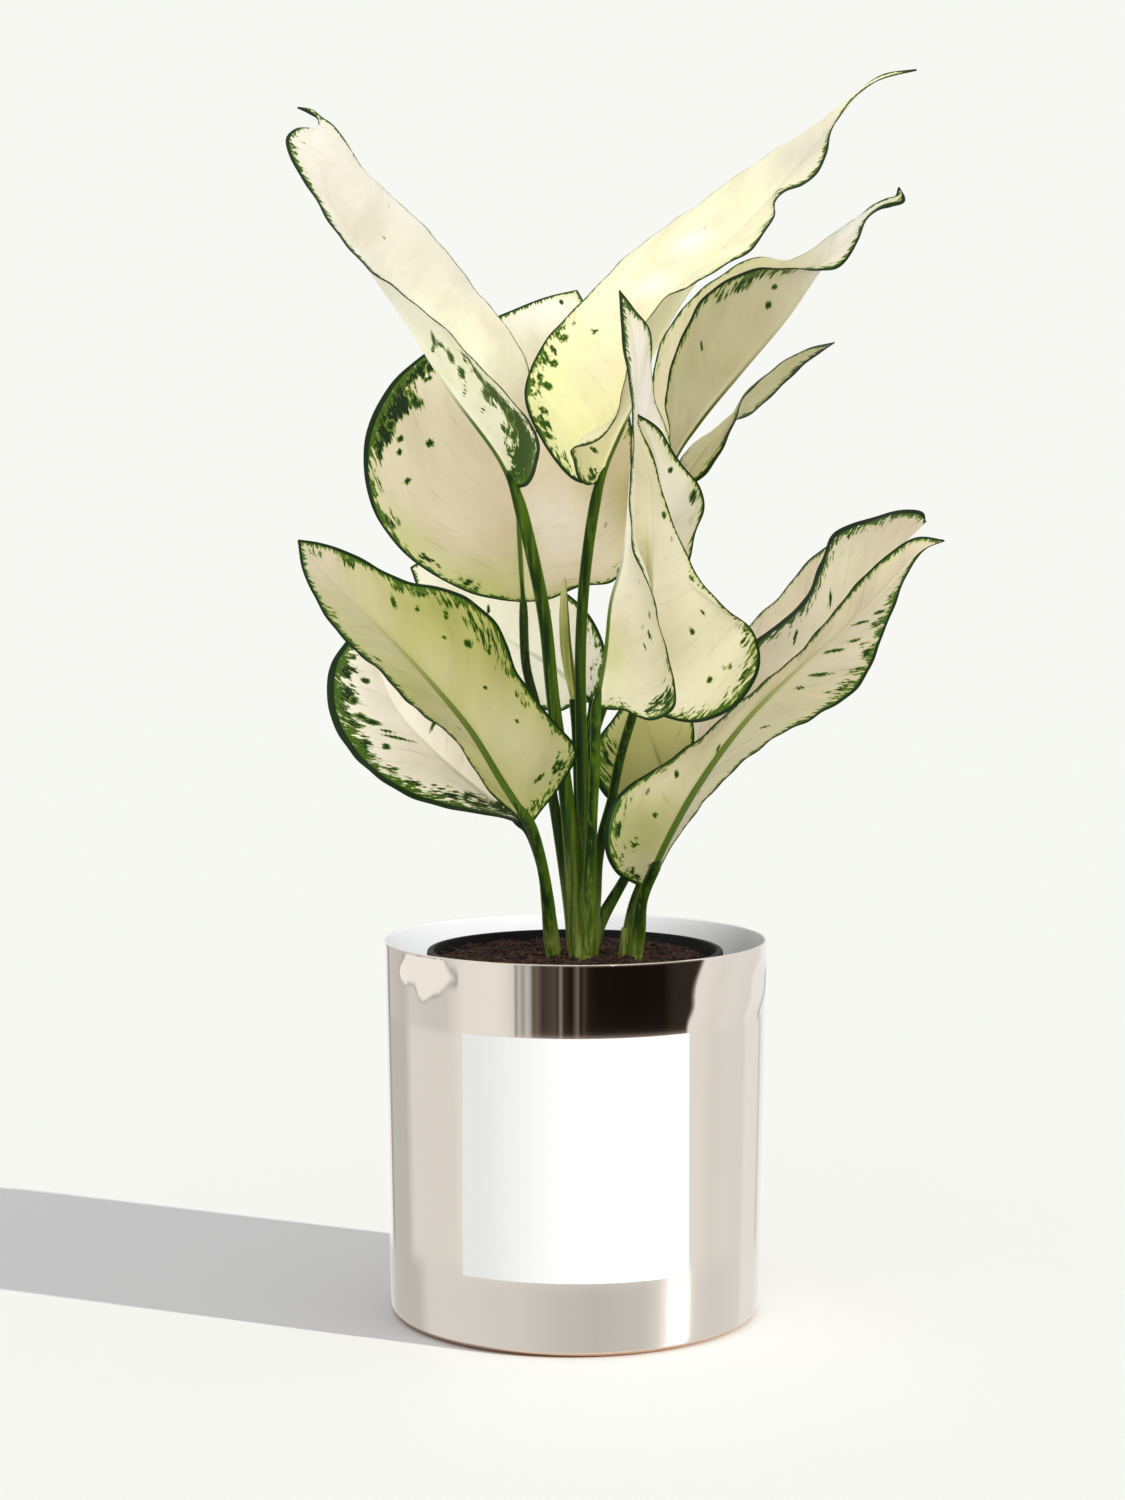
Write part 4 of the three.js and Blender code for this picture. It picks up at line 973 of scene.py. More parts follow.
# %% Looks, leaf by leaf
PLAIN_LOOK = dict(
    face=CREAM, tints=[], spots=0.5, rib_to=0.6, rib_up=0.35, veins=0.2, halo=0.3, deep=1.0,
    patches=[], marks=[],
    rim_left=[(0, 0.8), (1, 0.8)], rim_right=[(0, 0.8), (1, 0.8)],
)
LOOKS = {
    "leaf_top_left": dict(
        face=CREAM, rib_to=0.35, veins=0.04, spots=0.3, halo=0.2, deep=0.45,
        rim_left=[(0, 3.0), (0.1, 3.0), (0.2, 2.4), (0.3, 1.4), (0.5, 1.3), (0.7, 1.5), (1, 1.5)],
        rim_right=[(0, 1.0), (0.2, 0.25), (0.8, 0.2), (0.88, 0.6), (1, 1.1)],
        tints=[
            # Painted light: the first glow brightens the rolled left strip, which faces away from the
            # light, and the clouds at 0.36 are a painted glow.
            (0.28, -0.5, 34, 1.0, PAINTED_GLOW), (0.05, -0.4, 10, 0.7, MOSS), (0.36, 0.6, 15, 0.9, PAINTED_GLOW),
            (0.36, 0.6, 15, 0.5, BRIGHT_AND_HIGHLIGHT),
            (0.47, 0.45, 7, 0.5, BEIGE), (0.72, 0.1, 26, 0.5, PINKISH), (0.15, 0.75, 26, 0.9, BEIGE),
            (0.56, 0.7, 12, 0.4, BEIGE), (0.39, 0.85, 10, 0.8, BEIGE),
        ],
        patches=[
            (0.36, -0.34, 5, 1.2), (0.32, -0.62, 7, 1.4), (0.28, -0.64, 8, 1.6), (0.24, -0.66, 9, 1.9),
            (0.19, -0.68, 11, 2.1), (0.14, -0.7, 13, 2.3), (0.08, -0.65, 13, 2.4), (0.03, -0.4, 9, 1.8),
            (0.23, -0.42, 6, 1.3), (0.15, -0.45, 7, 1.5), (0.1, -0.4, 7, 1.3), (0.94, -0.85, 6, 1.0),
            (0.88, -0.85, 7, 0.8), (0.81, -0.9, 5, 0.6),
        ],
        marks=[
            (0.37, -0.27, 10, 2.8), (0.33, -0.36, 9, 2.8), (0.35, -0.12, 5, 1.4), (0.29, -0.32, 8, 2.6),
            (0.25, -0.18, 8, 1.2), (0.2, -0.22, 6, 1.2), (0.24, -0.48, 10, 3.2), (0.32, -0.7, 7, 2.6),
            (0.28, -0.62, 7, 3.0), (0.19, -0.6, 9, 3.4), (0.15, -0.5, 8, 3.0), (0.62, 0.35, 2, 0.9),
            (0.5, 0.8, 2, 0.9),
        ],
    ),
    "leaf_top_right": dict(
        face=YELLOW, rib_to=0.25, veins=0.08, spots=0.25, halo=0.35, deep=0.4,
        rim_left=[(0, 1.5), (0.1, 1.1), (0.3, 0.9), (0.42, 0.25), (0.86, 0.2), (0.93, 0.6), (1, 1.0)],
        rim_right=[
            (0, 1.3), (0.1, 1.2), (0.3, 0.5), (0.5, 0.6), (0.62, 1.6), (0.78, 1.5), (0.86, 0.8), (1, 1.1),
        ],
        tints=[
            # Painted light: the lemon clouds at the left edge are a painted glow of light shining through
            # the lobe, and the bright and beige clouds in a row beside the rib are painted highlights and
            # painted shade of soft folds.
            (0.2, -0.85, 20, 0.9, LEMON), (0.1, -0.75, 14, 0.7, LEMON), (0.24, -0.35, 9, 0.6, BEIGE),
            (0.35, -0.4, 6, 0.7, BEIGE), (0.41, -0.35, 6, 1.0, BRIGHT_AND_HIGHLIGHT), (0.46, -0.35, 5, 0.8, BEIGE),
            (0.51, -0.35, 6, 1.0, BRIGHT_AND_HIGHLIGHT), (0.56, -0.3, 5, 0.7, BEIGE), (0.75, 0.0, 20, 0.9, DUSK_ROSE),
            (0.3, 0.5, 16, 0.4, STRAW), (0.06, 0.5, 12, 0.6, LEMON),
        ],
        patches=[
            (0.3, -0.93, 6, 1.2), (0.25, -0.92, 6, 1.4), (0.2, -0.92, 6, 1.4), (0.14, -0.92, 6, 1.2),
            (0.08, -0.9, 7, 0.9), (0.66, 0.92, 6, 0.8), (0.6, 0.93, 5, 0.7), (0.04, 0.5, 6, 1.0),
        ],
        marks=[
            (0.3, -0.6, 3.4, 1.8), (0.2, -0.8, 4.4, 2.2), (0.285, -0.84, 5, 2.2), (0.24, -0.82, 4, 2.0),
            (0.12, -0.9, 4.4, 2.0), (0.09, 0.45, 6, 1.5), (0.16, -0.85, 3.8, 1.8),
        ],
    ),
    "leaf_back_round": dict(
        face=ROSY, spots=0.6, veins=0.16, halo=0.5, rib_up=1.0, rib_to=0.55,
        rim_left=[
            (0, 1.1), (0.3, 1.1), (0.4, 2.2), (0.53, 3.0), (0.66, 2.0), (0.78, 0.9), (0.84, 1.6),
            (0.92, 1.3), (0.96, 0.8), (1, 0.8),
        ],
        rim_right=[(0, 0.8), (0.5, 1.0), (1, 0.8)],
        tints=[
            (0.95, -0.4, 36, 1.0, PALE_ROSE), (0.95, -0.4, 30, 0.8, BRIGHT_AND_HIGHLIGHT), (0.5, -0.4, 24, 0.3, CREAM),
            # The olive cloud at the right edge is painted shade, where the leaves in front shade this one.
            (0.4, 0.95, 15, 0.5, OLIVE),
            (0.28, 0.35, 13, 0.6, PALE_ROSE), (0.1, -0.2, 14, 0.5, STRAW), (0.72, -0.2, 18, 0.4, SAND),
            (0.5, -0.6, 20, 0.3, SAND), (0.1, -0.85, 12, 0.6, MOSS), (0.25, -0.92, 10, 0.5, MOSS),
        ],
        patches=[
            (0.65, -0.88, 9, 2.2), (0.6, -0.94, 7, 1.9), (0.54, -0.9, 10, 2.4), (0.48, -0.92, 9, 2.2),
            (0.43, -0.95, 7, 1.1), (0.37, -0.96, 6, 0.9), (0.3, -0.95, 6, 0.9), (0.2, -0.95, 7, 0.8),
            (0.11, -0.95, 8, 0.8),
        ],
        marks=[
            (0.55, -0.76, 8, 3.0), (0.64, -0.84, 6, 3.0), (0.49, -0.86, 5, 2.6),
            (0.46, -0.78, 2.8, 2.0), (0.45, -0.6, 5, 2.2), (0.43, -0.78, 2.6, 1.6),
            (0.37, -0.74, 2.6, 1.8), (0.61, -0.78, 3.4, 2.0), (0.57, -0.84, 4, 2.4), (0.94, -0.4, 2.6, 1.2),
        ],
    ),
    "leaf_right_upper": dict(
        face=SAND, veins=0.12, halo=0.4, deep=0.7,
        rim_left=[(0, 0.5), (0.3, 1.0), (0.5, 0.9), (0.8, 0.5), (0.87, 1.2), (1, 1.4)],
        rim_right=[
            (0, 0.8), (0.35, 1.1), (0.5, 1.6), (0.6, 2.3), (0.7, 2.1), (0.8, 1.3), (0.87, 1.9), (1, 1.8),
        ],
        tints=[
            (0.55, 0.3, 24, 0.4, GREY_PINK), (0.32, -0.6, 26, 1.0, BEIGE), (0.2, 0.3, 16, 0.5, BEIGE),
            (0.66, 0.2, 14, 0.4, BEIGE), (0.85, -0.2, 18, 1.0, SILVER), (0.8, 0.4, 10, 0.7, PALE_ROSE),
        ],
        patches=[
            (0.52, 0.85, 6, 1.1), (0.56, 0.82, 7, 1.3), (0.61, 0.84, 7, 1.3), (0.66, 0.87, 7, 1.3),
            (0.71, 0.84, 6, 1.1),
        ],
        marks=[(0.61, 0.5, 3.6, 2.0), (0.57, 0.31, 3.8, 2.4), (0.41, 0.62, 4, 1.2)],
    ),
    "leaf_front_tall": dict(
        face=BEIGE, rib_to=0.5, veins=0.12, halo=0.6, deep=0.8,
        rim_left=[(0, 1.4), (0.3, 1.1), (0.5, 1.3), (0.62, 1.6), (0.75, 1.7), (0.85, 2.2), (1, 2.2)],
        rim_right=[(0, 0.8), (0.5, 0.8), (0.75, 0.8), (0.85, 1.6), (0.92, 2.4), (1, 2.2)],
        tints=[
            # The bright cloud on the right half is painted light on a half that lies in shade.
            (0.72, 0.6, 26, 0.9, PALE_ROSE), (0.45, 0.5, 22, 1.0, BRIGHT_AND_HIGHLIGHT), (0.15, -0.1, 12, 0.5, MOSS),
            (0.25, -0.6, 24, 0.4, SAND),
        ],
        patches=[(0.17, -0.9, 8, 1.1), (0.21, -0.9, 6, 0.9), (0.08, -0.85, 7, 0.8), (0.27, -0.93, 5, 0.7)],
        marks=[
            (0.33, -0.65, 3.6, 1.8), (0.28, -0.6, 3.2, 2.4), (0.24, -0.5, 2.6, 1.3), (0.85, -0.7, 4, 1.3),
        ],
    ),
    "leaf_front_lobed": dict(
        face=BEIGE, rib_to=0.6, veins=0.1, halo=0.9, deep=0.6,
        rim_left=[(0, 1.6), (0.2, 1.8), (0.45, 1.4), (0.6, 1.0), (1, 0.9)],
        rim_right=[(0, 0.8), (0.4, 0.4), (1, 0.3)],
        tints=[
            (0.3, -0.6, 18, 0.5, YELLOW), (0.25, -0.2, 12, 0.5, SAND), (0.5, 0.1, 9, 0.6, SAND),
            (0.78, 0.2, 18, 0.7, SAND), (0.3, -0.4, 26, 0.25, SAND),
        ],
        patches=[
            (0.38, -0.92, 7, 1.0), (0.32, -0.95, 7, 1.1), (0.24, -0.96, 8, 1.1), (0.16, -0.94, 8, 1.0),
            (0.45, -0.93, 5, 0.8), (0.57, -0.86, 5, 0.6),
        ],
        marks=[
            (0.57, -0.78, 5, 1.6), (0.33, -0.4, 3.4, 1.8), (0.72, -0.65, 6, 1.5), (0.4, -0.5, 2.6, 1.2),
            (0.25, -0.7, 3, 1.6), (0.3, -0.76, 3.4, 1.4),
        ],
    ),
    "leaf_front_inner": dict(
        face=BEIGE, veins=0.1, halo=0.5, tints=[(0.5, -0.6, 14, 0.5, CREAM)], deep=0.8,
        rim_left=[(0, 0.7), (0.6, 0.8), (1, 1.3)], rim_right=[(0, 0.8), (1, 1.0)],
        patches=[(0.5, -0.9, 6, 1.0), (0.44, -0.88, 5, 0.9)], marks=[(0.65, -0.47, 3, 1.6)],
    ),
    "leaf_right_slim": dict(
        face=SAND, veins=0.15, halo=0.1,
        rim_left=[(0, 1.5), (0.3, 2.0), (0.6, 1.9), (0.8, 2.4), (1, 1.6)],
        rim_right=[(0, 1.7), (0.25, 2.4), (0.55, 2.6), (0.68, 1.8), (0.8, 2.0), (1, 1.6)],
        tints=[(0.75, 0.0, 22, 0.5, STRAW)],
    ),
    "leaf_left_low": dict(
        face=STRAW, spots=0.8, rib_to=0.95, veins=0.2, halo=0.15, deep=0.75,
        rim_left=[
            (0, 1.1), (0.3, 1.4), (0.5, 1.5), (0.62, 1.9), (0.7, 2.3), (0.78, 1.6), (0.86, 1.8), (1, 1.4),
        ],
        rim_right=[(0, 0.9), (0.4, 1.1), (0.6, 1.5), (0.8, 1.3), (1, 1.3)],
        tints=[
            (0.95, 0.1, 26, 1.0, GREY_PINK), (0.77, -0.1, 14, 0.6, SAND), (0.68, 0.4, 16, 0.6, SAND),
            (0.63, -0.78, 12, 0.6, OLIVE), (0.46, -0.88, 9, 0.5, OLIVE), (0.1, -0.7, 10, 0.5, OLIVE),
            (0.3, -0.35, 16, 0.7, SAND), (0.35, 0.6, 14, 0.6, SAND), (0.5, -0.2, 10, 0.5, SAND),
            (0.22, -0.55, 16, 0.7, SAND),
        ],
        patches=[
            (0.73, -0.93, 7, 1.5), (0.68, -0.93, 8, 1.5), (0.62, -0.92, 8, 1.3), (0.55, -0.84, 9, 0.8),
            (0.49, -0.86, 9, 0.8), (0.42, -0.9, 8, 0.7), (0.35, -0.92, 7, 0.7), (0.87, -0.9, 7, 1.3),
            (0.17, -0.88, 8, 0.9), (0.1, -0.85, 8, 0.9), (0.05, -0.6, 8, 0.8), (0.25, -0.93, 6, 0.6),
            (0.62, 0.93, 6, 0.7), (0.95, -0.3, 5, 0.7), (0.8, 0.9, 6, 0.7),
        ],
        marks=[
            (0.51, -0.65, 3.6, 3.2), (0.72, -0.55, 9, 1.7), (0.6, -0.72, 6, 1.7), (0.66, -0.6, 4, 1.7),
            (0.47, -0.8, 5, 1.6), (0.56, -0.5, 3, 1.4), (0.4, -0.55, 2.6, 1.2), (0.3, -0.65, 3, 1.3),
            (0.33, 0.5, 2.6, 1.2), (0.14, -0.6, 6, 1.8),
        ],
    ),
    "leaf_left_low_back": dict(
        face=LIGHT_ROSE, veins=0.25, halo=0.5,
        rim_left=[
            (0, 2.4), (0.15, 3.2), (0.3, 2.7), (0.45, 2.6), (0.58, 3.0), (0.72, 3.6), (0.88, 3.0), (1, 1.6),
        ],
        rim_right=[(0, 1.4), (0.3, 1.6), (1, 1.3)],
        tints=[(0.3, -0.3, 20, 0.4, BEIGE), (0.6, -0.1, 20, 0.3, CREAM)],
        patches=[
            (0.86, -0.9, 9, 1.6), (0.77, -0.86, 11, 1.9), (0.68, -0.86, 11, 2.0), (0.6, -0.87, 10, 1.7),
            (0.52, -0.9, 8, 1.5), (0.46, -0.93, 8, 1.5), (0.39, -0.93, 9, 1.2), (0.33, -0.88, 9, 1.0),
            (0.24, -0.72, 10, 1.2), (0.17, -0.45, 10, 1.4), (0.11, -0.2, 9, 1.4),
        ],
        marks=[
            (0.72, -0.33, 3.2, 2.4), (0.58, -0.5, 7, 2.6), (0.61, -0.6, 5, 2.4), (0.49, -0.31, 12, 1.4),
            (0.53, -0.38, 6, 1.3), (0.48, -0.56, 3, 2.4), (0.5, 0.4, 10, 1.4), (0.66, -0.6, 3.4, 2.4),
        ],
    ),
    "leaf_back_pink": dict(
        face=BRIGHT_AND_HIGHLIGHT, veins=0.2, halo=0.3,
        rim_left=[(0, 0.9), (1, 1.1)], rim_right=[(0, 1.2), (0.5, 1.2), (1, 1.1)],
        patches=[(0.23, 0.93, 7, 0.9), (0.12, 0.8, 6, 0.8)], marks=[(0.6, 0.2, 4, 1.2)],
    ),
    "leaf_right_low": dict(
        face=ROSY, spots=0.8, rib_to=0.95, veins=0.35, halo=0.4, deep=0.9,
        rim_left=[(0, 0.8), (0.3, 1.0), (0.5, 1.1), (0.65, 1.6), (0.9, 1.4), (1, 1.3)],
        rim_right=[(0, 1.4), (0.1, 1.8), (0.35, 1.5), (0.6, 1.6), (0.8, 1.4), (1, 1.3)],
        tints=[
            (0.13, 0.5, 24, 0.9, SAND), (0.16, 0.35, 18, 0.8, OLIVE), (0.5, 0.0, 22, 0.5, STRAW),
            (0.75, -0.3, 34, 0.7, GREY_PINK), (0.5, 0.3, 24, 0.7, SAND), (0.35, -0.5, 24, 0.7, SAND),
        ],
        patches=[
            (0.83, -0.9, 8, 1.1), (0.78, -0.9, 9, 1.1), (0.72, -0.92, 9, 1.1), (0.66, -0.92, 9, 1.0),
            (0.61, -0.9, 8, 1.0), (0.51, -0.9, 7, 0.7), (0.21, 0.93, 6, 0.9), (0.15, 0.92, 7, 1.0),
            (0.09, 0.88, 6, 1.0), (0.05, 0.75, 6, 1.0), (0.3, 0.93, 6, 0.7), (0.13, 0.55, 8, 0.5),
        ],
        marks=[
            (0.76, -0.18, 8, 1.6), (0.68, -0.22, 8, 1.8), (0.62, -0.4, 9, 2.0), (0.19, 0.35, 2.8, 2.4),
            (0.72, -0.4, 6, 1.5), (0.38, 0.25, 8, 1.6), (0.57, -0.35, 5, 1.4), (0.3, 0.6, 6, 1.4),
            (0.8, -0.5, 6, 1.5), (0.45, -0.6, 5, 1.3),
        ],
    ),
    "leaf_right_low_back": dict(
        face=ROSY, veins=0.3, halo=0.1, deep=1.0,
        rim_left=[(0, 0.8), (0.7, 1.0), (1, 1.6)],
        rim_right=[(0, 1.1), (0.45, 2.4), (0.6, 3.4), (0.75, 3.2), (0.85, 2.4), (1, 2.2)],
        tints=[(0.3, 0.3, 20, 0.3, SAND), (0.55, 0.4, 20, 0.5, BEIGE), (0.75, 0.4, 14, 0.4, YELLOW)],
        patches=[(0.6, 0.93, 6, 0.8), (0.85, 0.8, 6, 0.7)],
        marks=[(0.68, 0.3, 6, 1.3), (0.55, 0.4, 6, 1.3)],
    ),
    "leaf_back_small": dict(
        face=SAND, tints=[(0.5, 0.0, 24, 0.9, STRAW), (0.4, -0.6, 12, 0.8, OLIVE)], veins=0.4,
        rim_left=[(0, 1.4), (0.4, 2.4), (1, 1.3)], patches=[(0.45, -0.85, 8, 1.1), (0.52, -0.7, 6, 0.9)],
    ),
}
print("looks:", len(LOOKS))

# %% Painting a blade
RIM_SCALE = 1.45
HALO_REACH = 4.2
HALO_BREAKS = (4.1, 9.7)


def paint(facts, look, length):
    """Keeps a leaf's look on its points: face colour, margin width, mottled green and marks."""
    along, edge = facts["along_mm"] / length, facts["edge_mm"]
    width = np.abs(facts["rib_mm"]) + edge
    rims = [np.interp(along, *np.array(look["rim_" + side]).T) for side in ("left", "right")]
    rim = RIM_SCALE * np.where(facts["rib_mm"] < 0, *rims)

    def gaps(where, across):
        return facts["along_mm"] - where * length, facts["rib_mm"] - across * width

    face = np.tile(look["face"], (len(along), 1))
    # The tints are soft clouds over the face: some are the leaf's own colour, and some are painted
    # highlights, painted glow and painted shade.
    for where, across, size, strength, shade in look["tints"]:
        cloud = strength * np.exp(-((np.hypot(*gaps(where, across)) / size) ** 2))
        face += cloud[:, None] * (np.array(shade) - face)
    short, long = HALO_BREAKS
    broken = 0.65 + 0.35 * np.sin(facts["along_mm"] / short) * np.sin(facts["along_mm"] / long + 1)
    halo = look["halo"] * np.exp(-((edge / HALO_REACH) ** 2)) * smooth_step(0.3, 1.2, rim) * broken
    face += halo[:, None] * (np.array(HALO) - face)
    green = 0.4 * (1 - smooth_step(0, 1, edge / (3 * rim + 2))) * smooth_step(0.4, 1.6, rim)
    for where, across, size, strength in look["patches"]:
        gap = np.hypot(*gaps(where, across))
        green = np.maximum(green, strength * (1 - smooth_step(0.25 * size, size, gap)))
    mark = np.zeros_like(along)
    slant = math.hypot(VEIN_SWEEP, 1)
    for where, across, long, wide in look["marks"]:
        forward, out = gaps(where, across)
        out = out * (1 if across >= 0 else -1)
        with_vein = (VEIN_SWEEP * forward + out) / slant
        over_vein = (forward - VEIN_SWEEP * out) / slant
        reach = np.hypot(with_vein / long, over_vein / wide) * 2
        mark = np.maximum(mark, np.clip(1 - reach / 2, 0, 1))
    facts.update(rim_mm=rim, green=green, mark=mark)
    return face


for seed, (name, leaf) in enumerate(LEAVES.items()):
    look = PLAIN_LOOK | LOOKS[name]
    points, faces, facts, length = blade_mesh_data(leaf, seed)
    face = paint(facts, look, length)
    piece = add_mesh(name + "_blade", points, faces, [leaf_finish(name, look, length, seed)])
    for fact, values in facts.items():
        keep_fact(piece.data, fact, values)
    painted = piece.data.attributes.new("face", "FLOAT_COLOR", "POINT")
    painted.data.foreach_set("color", face.ravel())
    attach(piece, "root")
    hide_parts(name)
    print(name, "rib", round(length), "mm, faces", len(faces))

# %% [markdown]
# ## Stalks by Geometry Nodes
#
# Each blade stands on a fleshy stalk, which is thickest at the foot, where it wraps round its
# neighbours. All the stalks follow one rule along different routes, which is what Geometry Nodes
# are good at: the tree below resamples a route, sets its thickness by how far up it is, and
# sweeps a circle along it. The routes come from the leaves' own points, and run on under each
# blade for a little way, so that stalk and rib meet as one.
#
# Some stalks are stouter than the rest, and some are painted darker, as painted shade on stalks that
# stand in the shade of other leaves; both are chosen leaf by leaf. Helpers for what all trees share
# come first: a tree starts with named inputs, and ends in plain geometry with its material.

# %% Helpers for trees
def new_tree(name, kinds):
    """A tree of geometry nodes with named inputs. Gives back the tree and those inputs."""
    tree = bpy.data.node_groups.new(name, "GeometryNodeTree")
    for port, kind in [("Geometry", "Geometry"), *kinds, ("Material", "Material")]:
        tree.interface.new_socket(port, in_out="INPUT", socket_type="NodeSocket" + kind)
    tree.interface.new_socket("Geometry", in_out="OUTPUT", socket_type="NodeSocketGeometry")
    return tree, tree.nodes.new("NodeGroupInput").outputs


def end_tree(tree, given, shape):
    """Makes a tree's shape plain geometry, gives it its material and sends it out."""
    realize = tree.nodes.new("GeometryNodeRealizeInstances")
    paint = tree.nodes.new("GeometryNodeSetMaterial")
    result = tree.nodes.new("NodeGroupOutput")
    tree.links.new(shape, realize.inputs["Geometry"])
    tree.links.new(realize.outputs["Geometry"], paint.inputs["Geometry"])
    tree.links.new(given["Material"], paint.inputs["Material"])
    tree.links.new(paint.outputs["Geometry"], result.inputs["Geometry"])
    return tree


def grown(holder, tree, values):
    """The plain mesh that a tree of nodes makes on an object, with its inputs set by name."""
    modifier = holder.modifiers.new("grow", "NODES")
    modifier.node_group = tree
    for item in tree.interface.items_tree:
        if item.in_out == "INPUT" and item.name in values:
            modifier[item.identifier] = values[item.name]
    evaluated = holder.evaluated_get(bpy.context.evaluated_depsgraph_get())
    mesh = bpy.data.meshes.new_from_object(evaluated)
    holder.modifiers.remove(modifier)
    bpy.data.objects.remove(holder)
    return mesh


print("tree helpers ready")

# %% The tree for a stalk
SWELL_TO = 0.55
SHRINK_FROM = 0.86


def stalk_tree():
    sizes = [(name, "Float") for name in ("Foot Radius", "Neck Radius", "End Radius")]
    tree, given = new_tree("stalk", [*sizes, ("Steps", "Int"), ("Sides", "Int")])
    nodes, links = tree.nodes, tree.links
    resample = nodes.new("GeometryNodeResampleCurve")
    links.new(given["Geometry"], resample.inputs["Curve"])
    links.new(given["Steps"], resample.inputs["Count"])
    share = nodes.new("GeometryNodeSplineParameter").outputs["Factor"]
    swell = nodes.new("ShaderNodeMapRange")
    swell.interpolation_type = "SMOOTHSTEP"
    swell.inputs["From Max"].default_value = SWELL_TO
    links.new(share, swell.inputs["Value"])
    links.new(given["Foot Radius"], swell.inputs["To Min"])
    links.new(given["Neck Radius"], swell.inputs["To Max"])
    ending = nodes.new("ShaderNodeMapRange")
    ending.interpolation_type = "SMOOTHSTEP"
    ending.inputs["From Min"].default_value = SHRINK_FROM
    links.new(share, ending.inputs["Value"])
    shrink = nodes.new("ShaderNodeMix")
    links.new(ending.outputs["Result"], shrink.inputs["Factor"])
    links.new(swell.outputs["Result"], shrink.inputs[2])
    links.new(given["End Radius"], shrink.inputs[3])
    circle = nodes.new("GeometryNodeCurvePrimitiveCircle")
    circle.inputs["Radius"].default_value = 1.0
    links.new(given["Sides"], circle.inputs["Resolution"])
    keep = nodes.new("GeometryNodeStoreNamedAttribute")
    keep.data_type = "FLOAT"
    keep.inputs["Name"].default_value = "up"
    links.new(resample.outputs["Curve"], keep.inputs["Geometry"])
    links.new(share, keep.inputs["Value"])
    sweep = nodes.new("GeometryNodeCurveToMesh")
    links.new(keep.outputs["Geometry"], sweep.inputs["Curve"])
    links.new(circle.outputs["Curve"], sweep.inputs["Profile Curve"])
    links.new(shrink.outputs[0], sweep.inputs["Scale"])
    sweep.inputs["Fill Caps"].default_value = True
    return end_tree(tree, given, sweep.outputs["Mesh"])


STALKS = stalk_tree()
print("stalk tree:", len(STALKS.nodes), "nodes")

# %% The stalks' green
def stalk_green():
    """Fleshy green with pale streaks along it; its right side painted lighter and both sides paler, as
    painted light and sheen.
    """
    finish = Finish("stalk_green", Roughness=0.45, Specular_IOR_Level=0.06)
    place = finish.place()
    up = finish.attribute("up")
    tone = finish.attribute("tone")
    out = finish.node("TexCoord", {}, output="Normal")
    sunny = finish.node("SeparateXYZ", {0: out}, output=0)
    long = finish.node("Mapping", {"Vector": place, "Scale": (1.0, 1.0, 0.035)})
    streak = finish.noise(long, 640.0, 3.0, 0.6)
    wide = finish.noise(long, 230.0, 2.0)
    # Painted light: the side facing right, towards the key sun, is painted a lighter green.
    lit = finish.math("ADD", finish.math("MULTIPLY", sunny, 0.3), wide)
    green = finish.mix(finish.step(lit, 0.3, 0.78), colour(22, 46, 2), colour(76, 104, 10))
    green = finish.mix(finish.step(streak, 0.52, 0.72, 0.0, 0.55), green, colour(112, 136, 34))
    green = finish.mix(finish.step(streak, 0.3, 0.44, 0.6, 0.0), green, colour(16, 38, 1))
    # Painted shade: the tone darkens a stalk, most on stalks in the shade of other leaves.
    green = finish.mix(finish.step(tone, 0.0, 1.0, 0.0, 0.65), green, colour(10, 28, 4))
    # Painted sheen: the left and right sides, seen from the front, are painted paler.
    painted_sheen = finish.step(finish.math("ABSOLUTE", sunny), 0.72, 0.97, 0.0, 0.6)
    green = finish.mix(painted_sheen, green, colour(98, 126, 26))
    foot = finish.mix(finish.step(streak, 0.4, 0.62), colour(82, 106, 20), colour(142, 150, 74))
    green = finish.mix(finish.step(up, 0.02, 0.32, 0.6, 0.0), green, foot)
    finish.set(Base_Color=green)
    finish.bump(streak, 0.35, 0.4 * MM)
    return finish.material


GREEN = stalk_green()
print("stalk finish ready")

# %% Several meshes as one piece
def joined(name, meshes, material, tones=None):
    """Several meshes as one piece. Each keeps a tone of its own, from 0 to 1, which the stalks' finish uses
    as painted shade.
    """
    target = bpy.data.meshes.new(name)
    points, faces, ups, tone = [], [], [], []
    for mesh, own in zip(meshes, tones or [0.0] * len(meshes)):
        start = len(points)
        points += [tuple(v.co) for v in mesh.vertices]
        faces += [[start + i for i in polygon.vertices] for polygon in mesh.polygons]
        kept = mesh.attributes.get("up")
        ups += [item.value for item in kept.data] if kept else [0.0] * len(mesh.vertices)
        tone += [own] * len(mesh.vertices)
    target.from_pydata(points, [], faces)
    keep_fact(target, "up", ups)
    keep_fact(target, "tone", tone)
    target.materials.append(material)
    target.shade_smooth()
    target.set_sharp_from_angle(angle=SMOOTH_ANGLE)
    piece = bpy.data.objects.new(name, target)
    bpy.context.scene.collection.objects.link(piece)
    return piece


print("joining ready")

# %% Routes and shafts
STALK_STEPS = 60
STALK_SIDES = 18
FOOT_RADIUS = 2.75
NECK_RADIUS = 1.7
END_UNDER_BLADE = 0.5
END_UNDER_SCROLL = 2.2
RUN_UNDER_BLADE = 0.09
SINK_AT_BASE = 0.8
SINK_UNDER_BLADE = 0.55
STOUT_STALKS = {
    "leaf_top_left": 0.7, "leaf_top_right": 0.35, "leaf_front_tall": 0.2, "leaf_left_low": 0.35,
    "leaf_left_low_back": 0.3, "leaf_right_low": 0.4,
}
